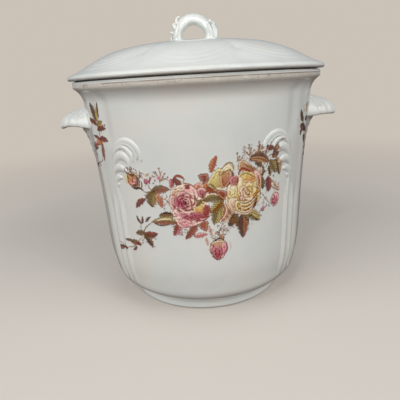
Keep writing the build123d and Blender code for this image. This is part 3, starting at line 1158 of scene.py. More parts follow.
    def build(self, name: str, wall: Ornaments, turned: float = 0.0) -> Piece:
        """Lay the sheet on the wall, with no face where there is no ink.

        The ink lies a film above the wall and its ornaments, and its bare margin dips below them.

        Args:
            name: Name of the piece.
            wall: Wall that it lies on.
            turned: Angle in degrees by which the whole sheet is turned about the jar.

        Returns:
            The sheet, with its colour and cover in the attribute called ink.
        """
        near = self.cover > 0.03
        rings = [near]
        for _ in range(3):
            wide = np.pad(rings[-1], 1)
            rings.append(rings[-1] | wide[:-2, 1:-1] | wide[2:, 1:-1] | wide[1:-1, :-2] | wide[1:-1, 2:])
        height = np.where(rings[2], self.film, -0.3)
        angle = math.radians(turned) + self.a / WALL_ARC_RADIUS
        points = wall.skin(angle[None, :], self.z[:, None], height).reshape(-1, 3)
        kept = (rings[3][:-1, :-1] & rings[3][1:, :-1] & rings[3][:-1, 1:] & rings[3][1:, 1:]).ravel()
        faces = grid_faces(*self.cover.shape)[kept]
        used, faces = np.unique(faces, return_inverse=True)
        sheet = build_mesh(name, points[used], faces.reshape(-1, 4), weld=False)
        ink = np.concatenate([self.colour, self.cover[..., None]], axis=-1).reshape(-1, 4)[used]
        layer = sheet.data.attributes.new("ink", "FLOAT_COLOR", "POINT")
        layer.data.foreach_set("color", ink.astype(np.float32).ravel())
        return sheet


@dataclass(frozen=True)
class RoseSpray:
    """Main spray: a pink rose and a yellow rose, buds that trail to the left and one that hangs below."""

    def orange_bud(self, sheet: InkSheet) -> None:
        """Orange bud and a small pink one at the left end, and the leaves beside them."""
        sheet.petal("-83,156 -78,158 -77,152 -79,148 -83,150", BUTTER, GOLD, cover=0.45)
        sheet.petal("-76,160 -70,161 -65,158 -63.5,152 -66,144.5 -74,145 -79,150 -78.5,156", TAN, UMBER,
            BARK, (0.8, -1.0))
        sheet.petal("-78.5,156 -79,150 -75,146 -71.5,149 -73,156", TAN, APRICOT, SIENNA)
        sheet.petal("-72,153 -68,154 -67,149.5 -69.5,147.5 -73,149", BLUSH, ROSE, WINE)
        for x, z, lean in places("-78,161,1.5 -76,158,2.5 -73,161.5,0.5 -70.5,158,1 -67,156.5,2.2 "
                                 "-65,153,0.8 -66,149.5,1.6 -77.5,154,0.8 -71.5,146.5,2.5"):
            sheet.stroke([(x - lean, z + 2.6), (x, z), (x + lean, z - 2.2)], 1.5, BARK, 0.85)
        for x, z in ((-74.5, 156.5), (-76, 152.5), (-69, 156.5)):
            sheet.stroke([(x - 1.2, z + 1.0), (x, z), (x + 1.2, z - 0.4)], 1.3, APRICOT)
        sheet.stroke("-75.5,158.5 -72,157 -69,158.5", 1.8, BROWN)
        sheet.stroke("-77,151 -73,148.8 -70,149.5", 1.5, BLUSH)
        sheet.stroke("-75,146 -70,144.2 -66,145 -61,143", 2.3, BARK)
        sheet.stroke("-63,145 -61.8,148 -62,152", 1.6, BROWN)
        sheet.sprig("-73,160.5 -76,164.5 -71,164.5", UMBER, SLATE, 0.8)
        sheet.dots("-68.5,164 -66.5,163 -66,160.8", 0.75, BROWN)
        sheet.dots("-78,150.5 -76,147.5", 0.9, RUST)
        sheet.stroke("-63,162.5 -62,159 -63.5,155", 1.3, BROWN)
        sheet.petal("-58.5,154 -55,155 -53.5,152 -55,149.5 -58.5,150", PINK, ROSE, WINE)
        sheet.dots("-55,158.5", 1.5, TAN)
        sheet.stroke("-53,150 -52.3,153 -51,155.8", 1.6, WINE)
        sheet.stroke("-54,152 -52,154.5 -49.5,156", 1.2, ROSE)
        sheet.stroke("-54.5,149 -53.5,146 -51.5,143.5", 1.2, BROWN)
        sheet.stroke("-61.5,142.5 -59,141.5 -52,143", 1.1, BROWN)
        sheet.sprig("-42,153 -45,162 -41,165.5 -36,160.5 -33.5,157", UMBER, RUST, 0.9)
        sheet.dots("-42.5,156", 1.7, PINK)
        sheet.dots("-46.5,153.5 -48.5,151", 0.9, BROWN)
        sheet.leaf("-52,142.5 -32.5,145.5", 8.5, OLIVE, SIENNA, 0.06)
        sheet.stroke("-43,146 -38,146.5 -34.5,145.5", 2.4, MAUVE, 0.8)
        sheet.leaf("-48.5,143 -53.5,126.5", 13.5, SAGE, OLIVE, -0.12, PEAT)
        sheet.stroke("-58.5,132.5 -55.5,129 -50,127.2", 1.3, MAROON)
        sheet.petal("-48,140 -43,139 -40.5,133 -42,126.5 -46,130 -48,135", TAN, SIENNA, RUST, (1.0, -0.5))
        sheet.leaf("-60,134.5 -73.5,123.5", 6.0, WINE, RUST, -0.08, MAROON)
        sheet.stroke("-60,134.5 -57,137 -52,142", 1.0, BROWN)
        sheet.dots("-41,136 -38.5,135.6 -36.3,134 -34.5,132.3", 0.85, SIENNA)

    def trailing_leaves(self, sheet: InkSheet) -> None:
        """Leaves that trail from the pink rose down to the left, round the jar."""
        sheet.leaf("-31,120 -47,118.5", 9.0, MOSS, UMBER, 0.06, BARK)
        sheet.stroke("-45,120 -39,121.5 -33,121", 1.8, BARK)
        sheet.stroke("-42,115.5 -38,115.3 -34,116.5", 1.0, OLIVE)
        sheet.leaf("-27,112.5 -56.5,111", 8.0, SIENNA, MOSS, -0.05, PEAT)
        sheet.stroke("-50,112.8 -42,115.2 -34,115.4", 1.3, CREAM)
        sheet.stroke("-53,110 -46,108.3 -37,110", 1.6, MAROON)
        sheet.leaf("-25.5,113 -33,98", 8.0, PINK, RUST, 0.05, MAROON)
        sheet.stroke("-55,111 -60,107.5 -65,103 -67,99 -68,92 -72,88", 1.3, OLIVE)
        sheet.leaf("-69,107 -74.5,116", 3.2, SLATE, BROWN, 0.08)
        sheet.leaf("-68.5,107.5 -66.5,116", 3.0, SLATE, BROWN, -0.05)
        sheet.stroke("-69,107.5 -70.5,104 -70,100.5", 1.0, SLATE)
        sheet.leaf("-63.5,110 -56.5,116.5", 3.0, MAUVE, SLATE, 0.05)
        sheet.leaf("-65.5,97.5 -79,95.5", 6.2, UMBER, OLIVE, -0.05, PEAT)
        sheet.leaf("-66,97.5 -50,99.5", 7.0, RUST, MAROON, -0.10, MAROON)
        sheet.leaf("-66.5,96 -57.5,83.5", 7.4, UMBER, BARK, 0.05, BARK)
        sheet.dots("-59,83 -56,84.3", 0.7, BROWN)
        sheet.leaf("-76.5,84.5 -89,83.5", 6.5, SIENNA, OLIVE, -0.06, PEAT)
        sheet.petal("-79,86 -75,86.2 -72.5,84 -75,82.2 -79,83", RUST, MAROON, BARK)
        sheet.stroke("-72,85 -70,87 -69,89", 0.9, BROWN)
        sheet.stroke("-69,93 -72,91 -78,86 -86,79 -93,77 -100,75", 1.1, UMBER)
        sheet.leaf("-80,80.5 -87,74.5", 3.4, RUST, MAROON, 0.06)
        sheet.leaf("-86,86 -96,86.5", 3.6, MAUVE, SLATE, 0.08)
        sheet.leaf("-94,76.5 -104,74.5", 4.4, BROWN, BARK, 0.05)
        sheet.leaf("-101,75 -114,70.5", 5.5, MAUVE, BROWN, -0.05)
        sheet.stroke("-101,77 -108,79.5 -114,77.5 -118,74", 1.4, SAGE, 0.7)

    def small_leaves(self, sheet: InkSheet) -> None:
        """Little red leaves above the pink rose."""
        sheet.stroke("-28,155.5 -25,158.3 -20,157 -18,155", 2.8, RUST)
        sheet.leaf("-30,156 -31.5,146", 4.8, SIENNA, PINK, 0.06, RUST)
        sheet.leaf("-28,156 -21.5,147", 6.2, RUST, WINE, 0.05, MAROON)
        sheet.stroke("-18,155.5 -19,152 -14,150.5 -9,147 -6,145", 1.5, SAGE)
        sheet.stroke("-33,145.5 -30,144 -27,141", 1.1, BROWN)
        sheet.petal("-5,158.5 0,160 4.5,158.5 3.5,152 0,150 -3.5,153.5", SIENNA, RUST, MAROON, (0.3, -1.0))
        sheet.stroke("0,159 0.5,155 0,151", 0.7, BARK)

    def pink_rose(self, sheet: InkSheet) -> None:
        """Full pink rose: outer petals first, then the cup and its dark heart."""
        sheet.petal("-34,134 -30,146 -18,151 -8,148 0,150 6,146 4,132 5,120 -2,113 -14,108 -26,108 -32,120",
            CREAM, BLUSH, WINE, (0.0, -1.0), 0.25)
        sheet.petal("-31,139 -30,144 -25,147 -20,145 -21,139 -26,136", CREAM, TAN, SIENNA, (-1.0, -0.4))
        sheet.petal("-35,133 -32,140 -27,138 -24,130 -27,123 -32,125", BLUSH, ROSE, WINE, (1.0, -0.3), 0.5)
        sheet.petal("-31,125 -25,129 -18,124 -14,121 -20,118 -28,120", CREAM, PINK, ROSE, (0.4, -1.0), 0.5)
        sheet.petal("-24,121 -17,120 -11,122 -9,117 -14,113.5 -21,113", PINK, CRIMSON, WINE, (0.5, -0.2), 0.5)
        sheet.petal("-27,113 -22,116 -15,114 -13,110 -19,108 -25,109.5", BLUSH, PINK, ROSE, (-0.3, -1.0), 0.4)
        sheet.petal("-11,130 -3,132 1,127 -2,121 -8,120 -12,124", BUTTER, APRICOT, SIENNA, (0.3, -1.0), 0.4)
        sheet.petal("-14,122 -6,122 2,122 3,117 -3,113.5 -10,114", ROSE, CRIMSON, WINE, (0.6, -1.0), 0.45)
        sheet.petal("-1,128 3,129 5,123 2,119 -2,121", CRIMSON, BRICK, MAROON, (0.5, -1.0))
        sheet.petal("-22,146 -16,150 -9,147 -6,140 -8,133 -14,128 -22,128 -27,134 -26,141", BLUSH, PINK,
            ROSE, (-0.4, -1.0), 0.3)
        sheet.rose((-18, 133), (2.4, 4.8, 7.4, 10.4), (PINK, CREAM), (ROSE, BLUSH),
                   (WINE, CRIMSON), MAROON, 0.6)
        sheet.dots("-18.3,132.6", 1.5, MAROON)
        sheet.petal("-18,149.5 -14,149.5 -13.5,146.5 -17,145.5", CRIMSON, WINE, MAROON)
        for x, z in ((-30, 128), (-28, 125.5), (-26, 123)):
            sheet.stroke([(x - 2.6, z + 3.2), (x, z + 1), (x + 2.0, z - 2.0)], 1.0, WINE, 0.8)
        for x, z in ((-19, 124.5), (-13, 125.5), (-8, 114.5), (1, 117.5)):
            sheet.stroke([(x - 1.6, z - 0.6), (x, z), (x + 1.7, z - 0.4)], 1.3, BROWN)
        sheet.stroke("-25,127.5 -20,123.2 -15,122.6 -12,124", 1.1, CREAM)
        sheet.stroke("-23,116.8 -18,118.5 -13,116", 1.1, WINE)
        sheet.stroke("-23,108.5 -19,107 -15,108.5", 0.9, MAUVE)
        sheet.stroke("-11,139.5 -8.3,136 -8,132.5", 1.4, BROWN)
        for x, z in ((-28, 108), (-27, 105), (-25.5, 101.5)):
            sheet.stroke([(x - 1.4, z + 0.4), (x + 1.2, z - 0.6)], 1.3, SIENNA)
        for x, z in ((-30, 118), (-26.5, 115), (-21, 112.5), (-15.5, 111), (-9, 112.5), (-3.5, 116.5)):
            sheet.stroke([(x - 2.4, z + 1.4), (x, z), (x + 2.2, z + 1.2)], 1.0, WINE, 0.85)
            sheet.stroke([(x - 1.8, z - 0.2), (x + 0.4, z - 1.3), (x + 2.4, z)], 0.8, CREAM, 0.8)

    def orange_bloom(self, sheet: InkSheet) -> None:
        """Small open bloom between the two roses."""
        sheet.petal("-10,148 -6,151.5 -2,150.5 -2.5,146.5 -7,145", BLUSH, APRICOT, SIENNA)
        sheet.petal("-1,150.5 3,149.5 5.5,145 3,141.5 -0.5,144.5", APRICOT, SIENNA, RUST)
        sheet.petal("-7,146 -1,147 2,142 -1.5,136 -6,139", PINK, CRIMSON, WINE, (0.4, -1.0))
        sheet.stroke("-6,144 -2.5,145.5 1,143.5", 1.2, CREAM)
        sheet.stroke("-4,141 -2,139 -3,136", 1.2, WINE)
        sheet.petal("2,149 9,149 9.5,142 4,140", APRICOT, SIENNA, RUST, (0.5, -1.0))
        sheet.leaf("3,148 19.5,136.5", 8.5, TAN, SIENNA, -0.06, MAROON)
        sheet.stroke("-8,134 -3,134.6 1,133.5", 1.3, OLIVE)
        sheet.dots("-2,131", 1.1, SAGE)
        sheet.leaf("17,134 4.5,121.5", 10.0, UMBER, MOSS, 0.06, PEAT)
        sheet.leaf("19,134.5 -3,133.5", 9.0, OLIVE, SAGE, -0.10, PEAT)
        sheet.leaf("-3,134 -9,128.5", 4.0, OLIVE, SAGE, 0.0, PEAT)
        sheet.stroke("0,137 6,139.8 13,138 19,134", 1.1, CREAM)

    def yellow_bloom(self, sheet: InkSheet) -> None:
        """Half open yellow bloom at the top, with its rust petals and red calyx."""
        sheet.leaf("6.5,160 12.5,176", 6.0, APRICOT, SIENNA, 0.05, RUST)
        sheet.petal("3,149.5 6.5,157 13,164 19,160 21,150 17,144 9,144.5", BUTTER, MOSS, OLIVE, (0.5, -1.0),
            0.4)
        sheet.petal("14,158 17,164 20.5,166.5 26,165 27.5,160 21,157", CREAM, BUTTER, SAGE, (0.3, -1.0), 0.3)
        sheet.petal("14,159 19,160.5 25,161 26,154 22,146 16,145", TAN, SIENNA, RUST, (0.4, -1.0), 0.5)
        sheet.stroke("16.5,162.5 20,166.3 24,168 27.2,165.5 28,161.5", 1.7, SAGE)
        sheet.stroke("14.5,156.5 19,159.5 24.5,161.5", 1.3, OLIVE)
        sheet.stroke("24,161.5 27.2,157 26,151.5 21,146", 2.0, MAROON)
        sheet.stroke("3,150 9,146 15,143.5 21,145", 1.2, CREAM)
        sheet.stroke("3.5,150 8,147.2 12,143.5", 1.6, OLIVE)
        sheet.petal("22,146 29,147.5 32,141 29,134.5 22,135", CREAM, BUTTER, UMBER, (0.2, -1.0), 0.5)
        sheet.petal("24,154 31,155 32.5,148 28,145.5 24,148", PINK, MAUVE, RUST, (0.5, -1.0))
        sheet.stroke("31,147.5 31.8,150 31,152.5", 1.2, MAROON)
        sheet.petal("11,142 16,143.3 21,140.3 20.5,136 17.5,133 12,138.5", SIENNA, BRICK, MAROON,
            (0.6, -1.0), 0.45)

    def middle_leaves(self, sheet: InkSheet) -> None:
        """Leaves and pale petals between the roses, and the red leaves below them."""
        sheet.petal("14,128 18,128 24,124 27,115 20,110 15,114", BLUSH, TAN, SIENNA, (0.6, -1.0), 0.25,
            cover=0.8)
        sheet.leaf("20.5,129 15.5,110.5", 9.0, TAN, UMBER, 0.05, BROWN)
        sheet.leaf("14.5,131.5 7.5,108.5", 11.5, MOSS, OLIVE, 0.02, PEAT)
        sheet.stroke("5.5,127 3.5,121 4,114.5", 1.0, CREAM)
        sheet.leaf("29,118 22.5,106.5", 6.5, SAGE, PEAT, 0.05, BARK)
        sheet.leaf("31,117.5 31.5,103.5", 5.5, OLIVE, UMBER, -0.05, BARK)
        for x, z in ((24, 121), (26.5, 118.5), (21.5, 115.5), (27.5, 113.5)):
            sheet.stroke([(x - 2.2, z + 1.6), (x, z), (x + 1.4, z - 2.0)], 1.0, BROWN, 0.9)
        sheet.stroke("17,131 20.3,124.5 18.5,117 14,112", 1.5, BLUSH)
        sheet.stroke("21,126 27,122.5 28.5,117", 1.4, BROWN)
        sheet.stroke("21.5,121 25,117.5 27,113", 1.3, BROWN)
        sheet.stroke("28,114 26,110.5 23.5,107.5", 1.8, UMBER)
        sheet.petal("22,110 27,110 28,106.5 24,105 21.5,107", SLATE, PEAT, BARK)
        sheet.leaf("-8.5,112 -21.5,94.5", 7.5, SIENNA, RUST, 0.04, MAROON)
        sheet.petal("-7.5,111 -3,113.5 2,113 2,109 0,102.5 -6,106", BRICK, RUST, MAROON, (0.5, -1.0), 0.5)
        sheet.stroke("-3,111 -1,108.5 -1,105", 1.2, OCHRE)
        sheet.leaf("-12.5,97.5 1.5,99.5", 5.2, BLUSH, PINK, 0.04, RUST)
        sheet.leaf("2,108.5 4.5,97", 3.4, TAN, BLUSH, 0.05, SIENNA, cover=0.75)
        sheet.leaf("-1,96 0.5,87", 3.0, TAN, BLUSH, 0.05, SIENNA, cover=0.75)

    def yellow_rose(self, sheet: InkSheet) -> None:
        """Full yellow rose: outer petals, the cup, and its dotted brown heart."""
        sheet.petal("22,146 31,152 38,157 50,157 57,148 56,136 53,125 44,115 32,117 22,124 19,135", BUTTER,
            TAN, BROWN, (0.3, -1.0), 0.45)
        sheet.petal("22,133 29,134 35,131 34,124 28,121 23,125", CREAM, TAN, SIENNA, (0.3, -1.0), 0.6)
        sheet.petal("33,168 38,169 45,163.5 51,159 47,155 38,158 32,161", TAN, SIENNA, BROWN, (0.6, -1.0),
            0.4)
        sheet.petal("32,154 38,158.5 46,157 52,151 49,146.5 41,147 34,148", BUTTER, APRICOT, UMBER,
            (0.4, -1.0), 0.4)
        sheet.petal("48,157 53,157 57.5,149 57.5,139 53,140 51,148", BLUSH, TAN, BROWN, (0.4, -1.0), 0.4)
        sheet.petal("33,153 36.5,152 37,144 35,134 31.5,137 31.5,146", CREAM, BUTTER, OCHRE, (0.2, -1.0),
            0.25)
        sheet.petal("32,134 38,134.5 41,130 37,125.5 31.5,126.5", GOLD, OCHRE, BROWN)
        sheet.petal("49,140 56,138 57,131 52,125 48,129", GOLD, OCHRE, BROWN, (0.3, -1.0), 0.5)
        sheet.petal("30,131 38,129.5 47,130 55.5,136 56,129 50,121 42,117 34,118 29,124", BUTTER, GOLD,
            BROWN, (0.3, -1.0), 0.6)
        sheet.rose((42, 137.5), (2.6, 5.2, 8.8), (BLUSH, CREAM), (CREAM, BUTTER), (TAN, GOLD), UMBER, 1.9)
        for sag in (0.0, 3.6, 7.2):
            down, third = 131 - sag, sag / 3
            sheet.stroke([(31.5 + third, down), (36, down - 3.6), (42.5, down - 4.2), (48, down - 1.6),
                          (54.5 - sag / 2, down + 4.5)], 1.3, BROWN)
            sheet.stroke([(33 + third, down - 2.2), (38, down - 5.2), (44, down - 5),
                          (51 - third, down - 0.4)], 1.1, CREAM, 0.9)
        sheet.dots("40.5,137 42.5,139 44.5,137.3 42.3,135.2 43.8,134.4 35,134.5 36.5,131.5 34.5,137.5 "
                   "39,130.5 41.5,141.5 38,140.5 46.5,140.5", 0.8, BROWN)
        sheet.stroke("32.5,156 36,161 40,159.8 44.5,157", 2.6, RUST)
        sheet.stroke("34,154.5 39,156.3 43,155 47.5,152.3", 1.1, OLIVE)
        sheet.stroke("39,165 44,162 50,158.3", 1.5, UMBER)
        sheet.stroke("52.5,128.5 51,124 47.5,120.2", 2.2, MAROON)
        sheet.stroke("53.5,152 55,147 54.3,142", 1.2, RUST)
        for t in (0.0, 0.33, 0.66):
            sheet.stroke([(50 + 2 * t, 136 - 9 * t), (53.5 + t, 134 - 8 * t)], 0.8, BROWN)

    def right_leaves(self, sheet: InkSheet) -> None:
        """Leaves, berries and grey sprigs round the yellow rose, and the buds at the right end."""
        sheet.leaf("50,168 57.5,160", 7.0, OLIVE, PEAT, 0.0, BARK)
        sheet.leaf("43,169.5 66,163.5", 10.5, BROWN, UMBER, 0.12, BARK, TAN)
        sheet.stroke("46,168.5 53,167 62,163", 1.2, TAN, 0.9)
        sheet.leaf("57,161 58.5,150", 5.5, OLIVE, PEAT, 0.05, PEAT)
        sheet.leaf("57.5,150 59.5,137", 5.6, OLIVE, PEAT, 0.04, PEAT)
        sheet.leaf("65,149 67,133", 9.0, BRICK, MAROON, 0.05, MAROON)
        sheet.leaf("66,160 68.5,148.5", 5.2, TAN, BARK, 0.05)
        sheet.leaf("73,166.5 81.5,148", 9.0, TAN, BROWN, 0.06, BARK)
        sheet.leaf("67,165 75.5,150.5", 8.0, MOSS, OLIVE, 0.06, PEAT)
        sheet.leaf("68,170 77,169", 7.0, BROWN, UMBER, 0.04, BARK)
        sheet.leaf("69,173 77,178.5", 5.0, UMBER, BROWN, 0.04, BARK)
        sheet.petal("61,179 66,180 69.5,177 66.5,174 62.5,175.5", MAUVE, MAROON, BARK)
        sheet.petal("70,143.5 75.5,142 82,136 81,132 75,134 71,138", CREAM, TAN, SLATE, (-0.3, -1.0), 0.8,
            cover=0.8)
        sheet.petal("52,158 57,160.5 59,156 56,152 52.5,153", CREAM, BLUSH, SLATE, cover=0.8)
        sheet.stroke("50,158 56,163 63,168 68,171 72,176", 1.0, UMBER)
        sheet.stroke("62,158 64,162 66,165 71,163", 1.0, BROWN)
        sheet.sprig("60,172 62,179 67,177.5 64.5,175.5", UMBER, MAROON, 1.2)
        sheet.dots("70.5,176 72.5,178 75,179.5 74,176", 1.0, UMBER)
        sheet.dots("72.5,148.5", 1.0, BROWN)
        sheet.sprig("31,168 31,176 33.5,172.5 36,171", UMBER, BROWN, 0.9)
        sheet.sprig("43,172 42.5,182 38,177.5 45,179 48,177 41,175", UMBER, SLATE, 0.8)
        sheet.sprig("52,173 53,184 54,181 52,180 57,178", UMBER, SLATE, 0.8)
        sheet.stroke("75,179 77.5,182.5 80,183.5 85,183", 1.2, MAUVE)
        sheet.stroke("70,143 74,140.5 79,136", 1.1, SLATE, 0.75)
        sheet.stroke("70,139 75,135.5 81,132.5", 1.1, SLATE, 0.75)
        sheet.dots("76,139 80,135.5 78,133.8 82,132.3", 0.9, MAUVE)
        sheet.petal("70,122 72,129 78,131 82,127 81,119 75,116.5", PINK, ROSE, WINE, (-1.0, -0.6), 0.45)
        sheet.petal("76,130 82,128 81,121 77,123", BLUSH, PINK, ROSE, (0.5, -1.0))
        sheet.stroke("74.5,126.5 77,125.2 79.5,122.5", 1.1, WINE)
        for x, z in ((73, 126.5), (76, 128.5), (79.5, 127)):
            sheet.stroke([(x - 1.5, z + 2.0), (x + 0.8, z), (x + 1.2, z - 4.5)], 0.9, CREAM, 0.85)
        sheet.dots("73,121 76,119.5 74,124", 0.9, WINE)
        sheet.petal("58,118.5 61.5,120 62.5,117 60,114.5 57.5,116", PINK, MAUVE, WINE)
        sheet.stroke("57,135 61,130.5 66,124 70,120.5", 1.1, SAGE)
        sheet.stroke("62,129 60.5,124 60,120", 0.9, SAGE)
        sheet.leaf("36.5,116.5 37,91", 12.0, SIENNA, BARK, 0.03, BARK)
        sheet.stroke("34.5,112 33.5,106 34.5,99", 1.8, BROWN)
        sheet.stroke("38,113 38.5,106 37.5,99", 1.5, OCHRE)
        sheet.stroke("43.5,106 42.5,110 40,112.5", 2.0, BARK)
        sheet.leaf("37.5,118 57,106", 10.5, MOSS, OLIVE, 0.08, PEAT, BUTTER)
        sheet.dots("46.5,113.5 52.5,108.3", 1.2, PEAT)

    def hanging_bud(self, sheet: InkSheet) -> None:
        """Pink bud that hangs below the roses on two stalks."""
        sheet.petal("3,88 6,91.5 12,92.5 18,91 20.5,86 19,79 15,72.5 10,71 6,74 3,80", TAN, ROSE, WINE,
            (0.2, -1.0), 0.3)
        sheet.petal("2,83 5,89 6.5,84 4.5,77.5", BLUSH, MAUVE, WINE, (0.0, -1.0))
        sheet.petal("5.5,86 10,86.5 14.5,82 14,75 10,72 6,75", PINK, CRIMSON, WINE, (0.3, -1.0), 0.5)
        sheet.petal("14.5,88 19,89 19.5,82 16,76 14.5,81", BLUSH, PINK, ROSE, (0.0, -1.0))
        sheet.dots("12,81 12,77 8.5,77.5 7.5,81", 0.95, WINE)
        sheet.stroke("5,75 10,71.5 15.5,73.5", 1.3, WINE)
        sheet.stroke("19.8,88 20.3,82 17,76", 1.2, WINE)
        sheet.stroke("22,90 23.8,86 23.5,81", 1.0, PINK, 0.6)
        sheet.stroke("6,91.5 10,93.4 13,94 17,91.5", 2.0, BARK)
        sheet.petal("13.5,98 16.5,98 17.5,93 14,93", TAN, UMBER, BROWN)
        sheet.stroke("15,106.5 13,103 12.5,98 13,94", 1.3, BROWN)
        sheet.stroke("17.5,105 16.5,101 16.5,96", 1.0, SIENNA)
        sheet.dots("21.5,101.5 18.3,97.5 10.8,101", 0.9, BROWN)

    def paint(self) -> InkSheet:
        """Paint the whole spray, the pieces at the back first."""
        sheet = InkSheet(-122.0, 90.0, 64.0, 190.0)
        woody, grey = (BROWN, UMBER, SLATE, RUST), (SLATE, TAN, MAUVE, BROWN)
        for seed, (centre, spread, count, inks) in enumerate((
            ((46, 175), (13, 6), 34, grey), ((66, 172), (11, 9), 26, woody), ((21, 109), (9, 7), 26, woody),
            ((10, 103), (8, 5), 16, woody), ((-26, 105), (6, 5), 14, woody), ((46, 111), (11, 6), 22, woody),
            ((63, 125), (8, 9), 12, grey), ((-41, 158), (6, 5), 12, woody), ((-56, 154), (5, 5), 8, grey),
            ((-70, 157), (9, 8), 16, woody), ((-40, 132), (6, 7), 12, woody), ((-60, 91), (7, 7), 12, woody),
            ((1, 98), (9, 5), 12, grey), ((76, 137), (6, 5), 10, grey), ((60, 152), (7, 9), 14, woody),
        )):
            sheet.flecks(centre, spread, count, inks, seed + 11)
        self.trailing_leaves(sheet)
        self.right_leaves(sheet)
        self.small_leaves(sheet)
        self.orange_bud(sheet)
        self.middle_leaves(sheet)
        self.pink_rose(sheet)
        self.orange_bloom(sheet)
        self.yellow_rose(sheet)
        self.yellow_bloom(sheet)
        self.hanging_bud(sheet)
        return sheet


@dataclass(frozen=True)
class LeafSpray:
    """Upright spray of leaves between a plume and a handle."""

    def left(self) -> InkSheet:
        """Paint the spray on the left of the front."""
        sheet = InkSheet(-152.0, -92.0, 150.0, 232.0)
        sheet.stroke("-111,224 -112,212 -113,201 -112,190 -114,178 -120,167", 1.2, UMBER)
        sheet.leaf("-114,207 -122,225", 9.5, BROWN, OLIVE, -0.04, PEAT)
        sheet.leaf("-108,210 -106,226", 3.2, SLATE, BROWN, 0.05)
        sheet.leaf("-112,206 -109.5,221", 4.0, BUTTER, MOSS, 0.04, SAGE)
        sheet.leaf("-113,203 -134,208", 5.2, RUST, BROWN, -0.08, MAROON)
        sheet.leaf("-114,201 -103,207.5", 6.2, SAGE, MOSS, 0.06, OLIVE)
        sheet.leaf("-116,198.5 -99.5,200.5", 5.2, RUST, PEAT, 0.05, MAROON)
        sheet.leaf("-114,189.5 -98.5,188.5", 5.8, WINE, RUST, 0.07, MAROON)
        sheet.leaf("-112,188 -127,192.5", 4.0, SIENNA, MAROON, -0.05, MAROON)
        sheet.petal("-122,188 -114,189 -109,186.5 -113,183.5 -120,184", APRICOT, OCHRE, SIENNA, (1.0, -0.3))
        sheet.leaf("-110,185 -113.5,167", 6.4, MAUVE, SLATE, -0.05, BROWN)
        sheet.leaf("-118,184 -141,178.5", 5.4, SIENNA, PINK, -0.06, BROWN)
        sheet.leaf("-121,180.5 -141,173", 3.2, SLATE, BROWN, -0.05)
        sheet.leaf("-128,174 -138,168.5", 4.4, OLIVE, SLATE, -0.03)
        sheet.stroke("-117,168 -124,165 -132,163 -142,159.5", 1.3, WINE, 0.85)
        sheet.leaf("-131,162.5 -147,158.5", 4.2, RUST, MAROON, 0.04, MAROON)
        sheet.dots("-127,163.5 -125,161.5 -104,203 -119.5,206 -101,203.5", 1.1, BROWN)
        return sheet

    def right(self) -> InkSheet:
        """Paint the spray on the right of the front."""
        sheet = InkSheet(104.0, 156.0, 148.0, 222.0)
        sheet.stroke("117,206 121,196 124,188 129,177 137,166 146,157", 1.2, UMBER)
        sheet.leaf("121,195 112,207.5", 6.6, BROWN, BARK, 0.05, BARK)
        sheet.leaf("133,202 125.5,214", 6.2, OLIVE, SAGE, 0.05, PEAT)
        sheet.leaf("124,197 140,197", 6.6, OLIVE, PEAT, 0.05, PEAT)
        sheet.leaf("134,202 151,215", 7.4, OLIVE, SAGE, 0.05, PEAT)
        sheet.leaf("127,186 113.5,192", 7.6, BROWN, BARK, -0.06, BARK)
        sheet.leaf("118,188 117,181.5", 4.6, BROWN, BARK, 0.0, BARK)
        sheet.leaf("122,187 137,183", 5.0, BROWN, BARK, 0.08, BARK)
        sheet.leaf("124,182 132,170.5", 7.0, UMBER, BARK, 0.04, BARK)
        sheet.leaf("130,168 147,163.5", 5.4, BROWN, BARK, 0.06, BARK)
        sheet.leaf("130,158.5 150,156.5", 4.0, BROWN, SLATE, 0.05)
        sheet.stroke("124,198 128,206 134,212 143,217", 1.3, SAGE, 0.8)
        sheet.petal("119,211 123,211 123.5,206 120,204", CREAM, TAN, SAGE, cover=0.6)
        sheet.dots("106.5,198 108,191", 0.9, SAGE, 0.5)
        return sheet


# ---- the lid


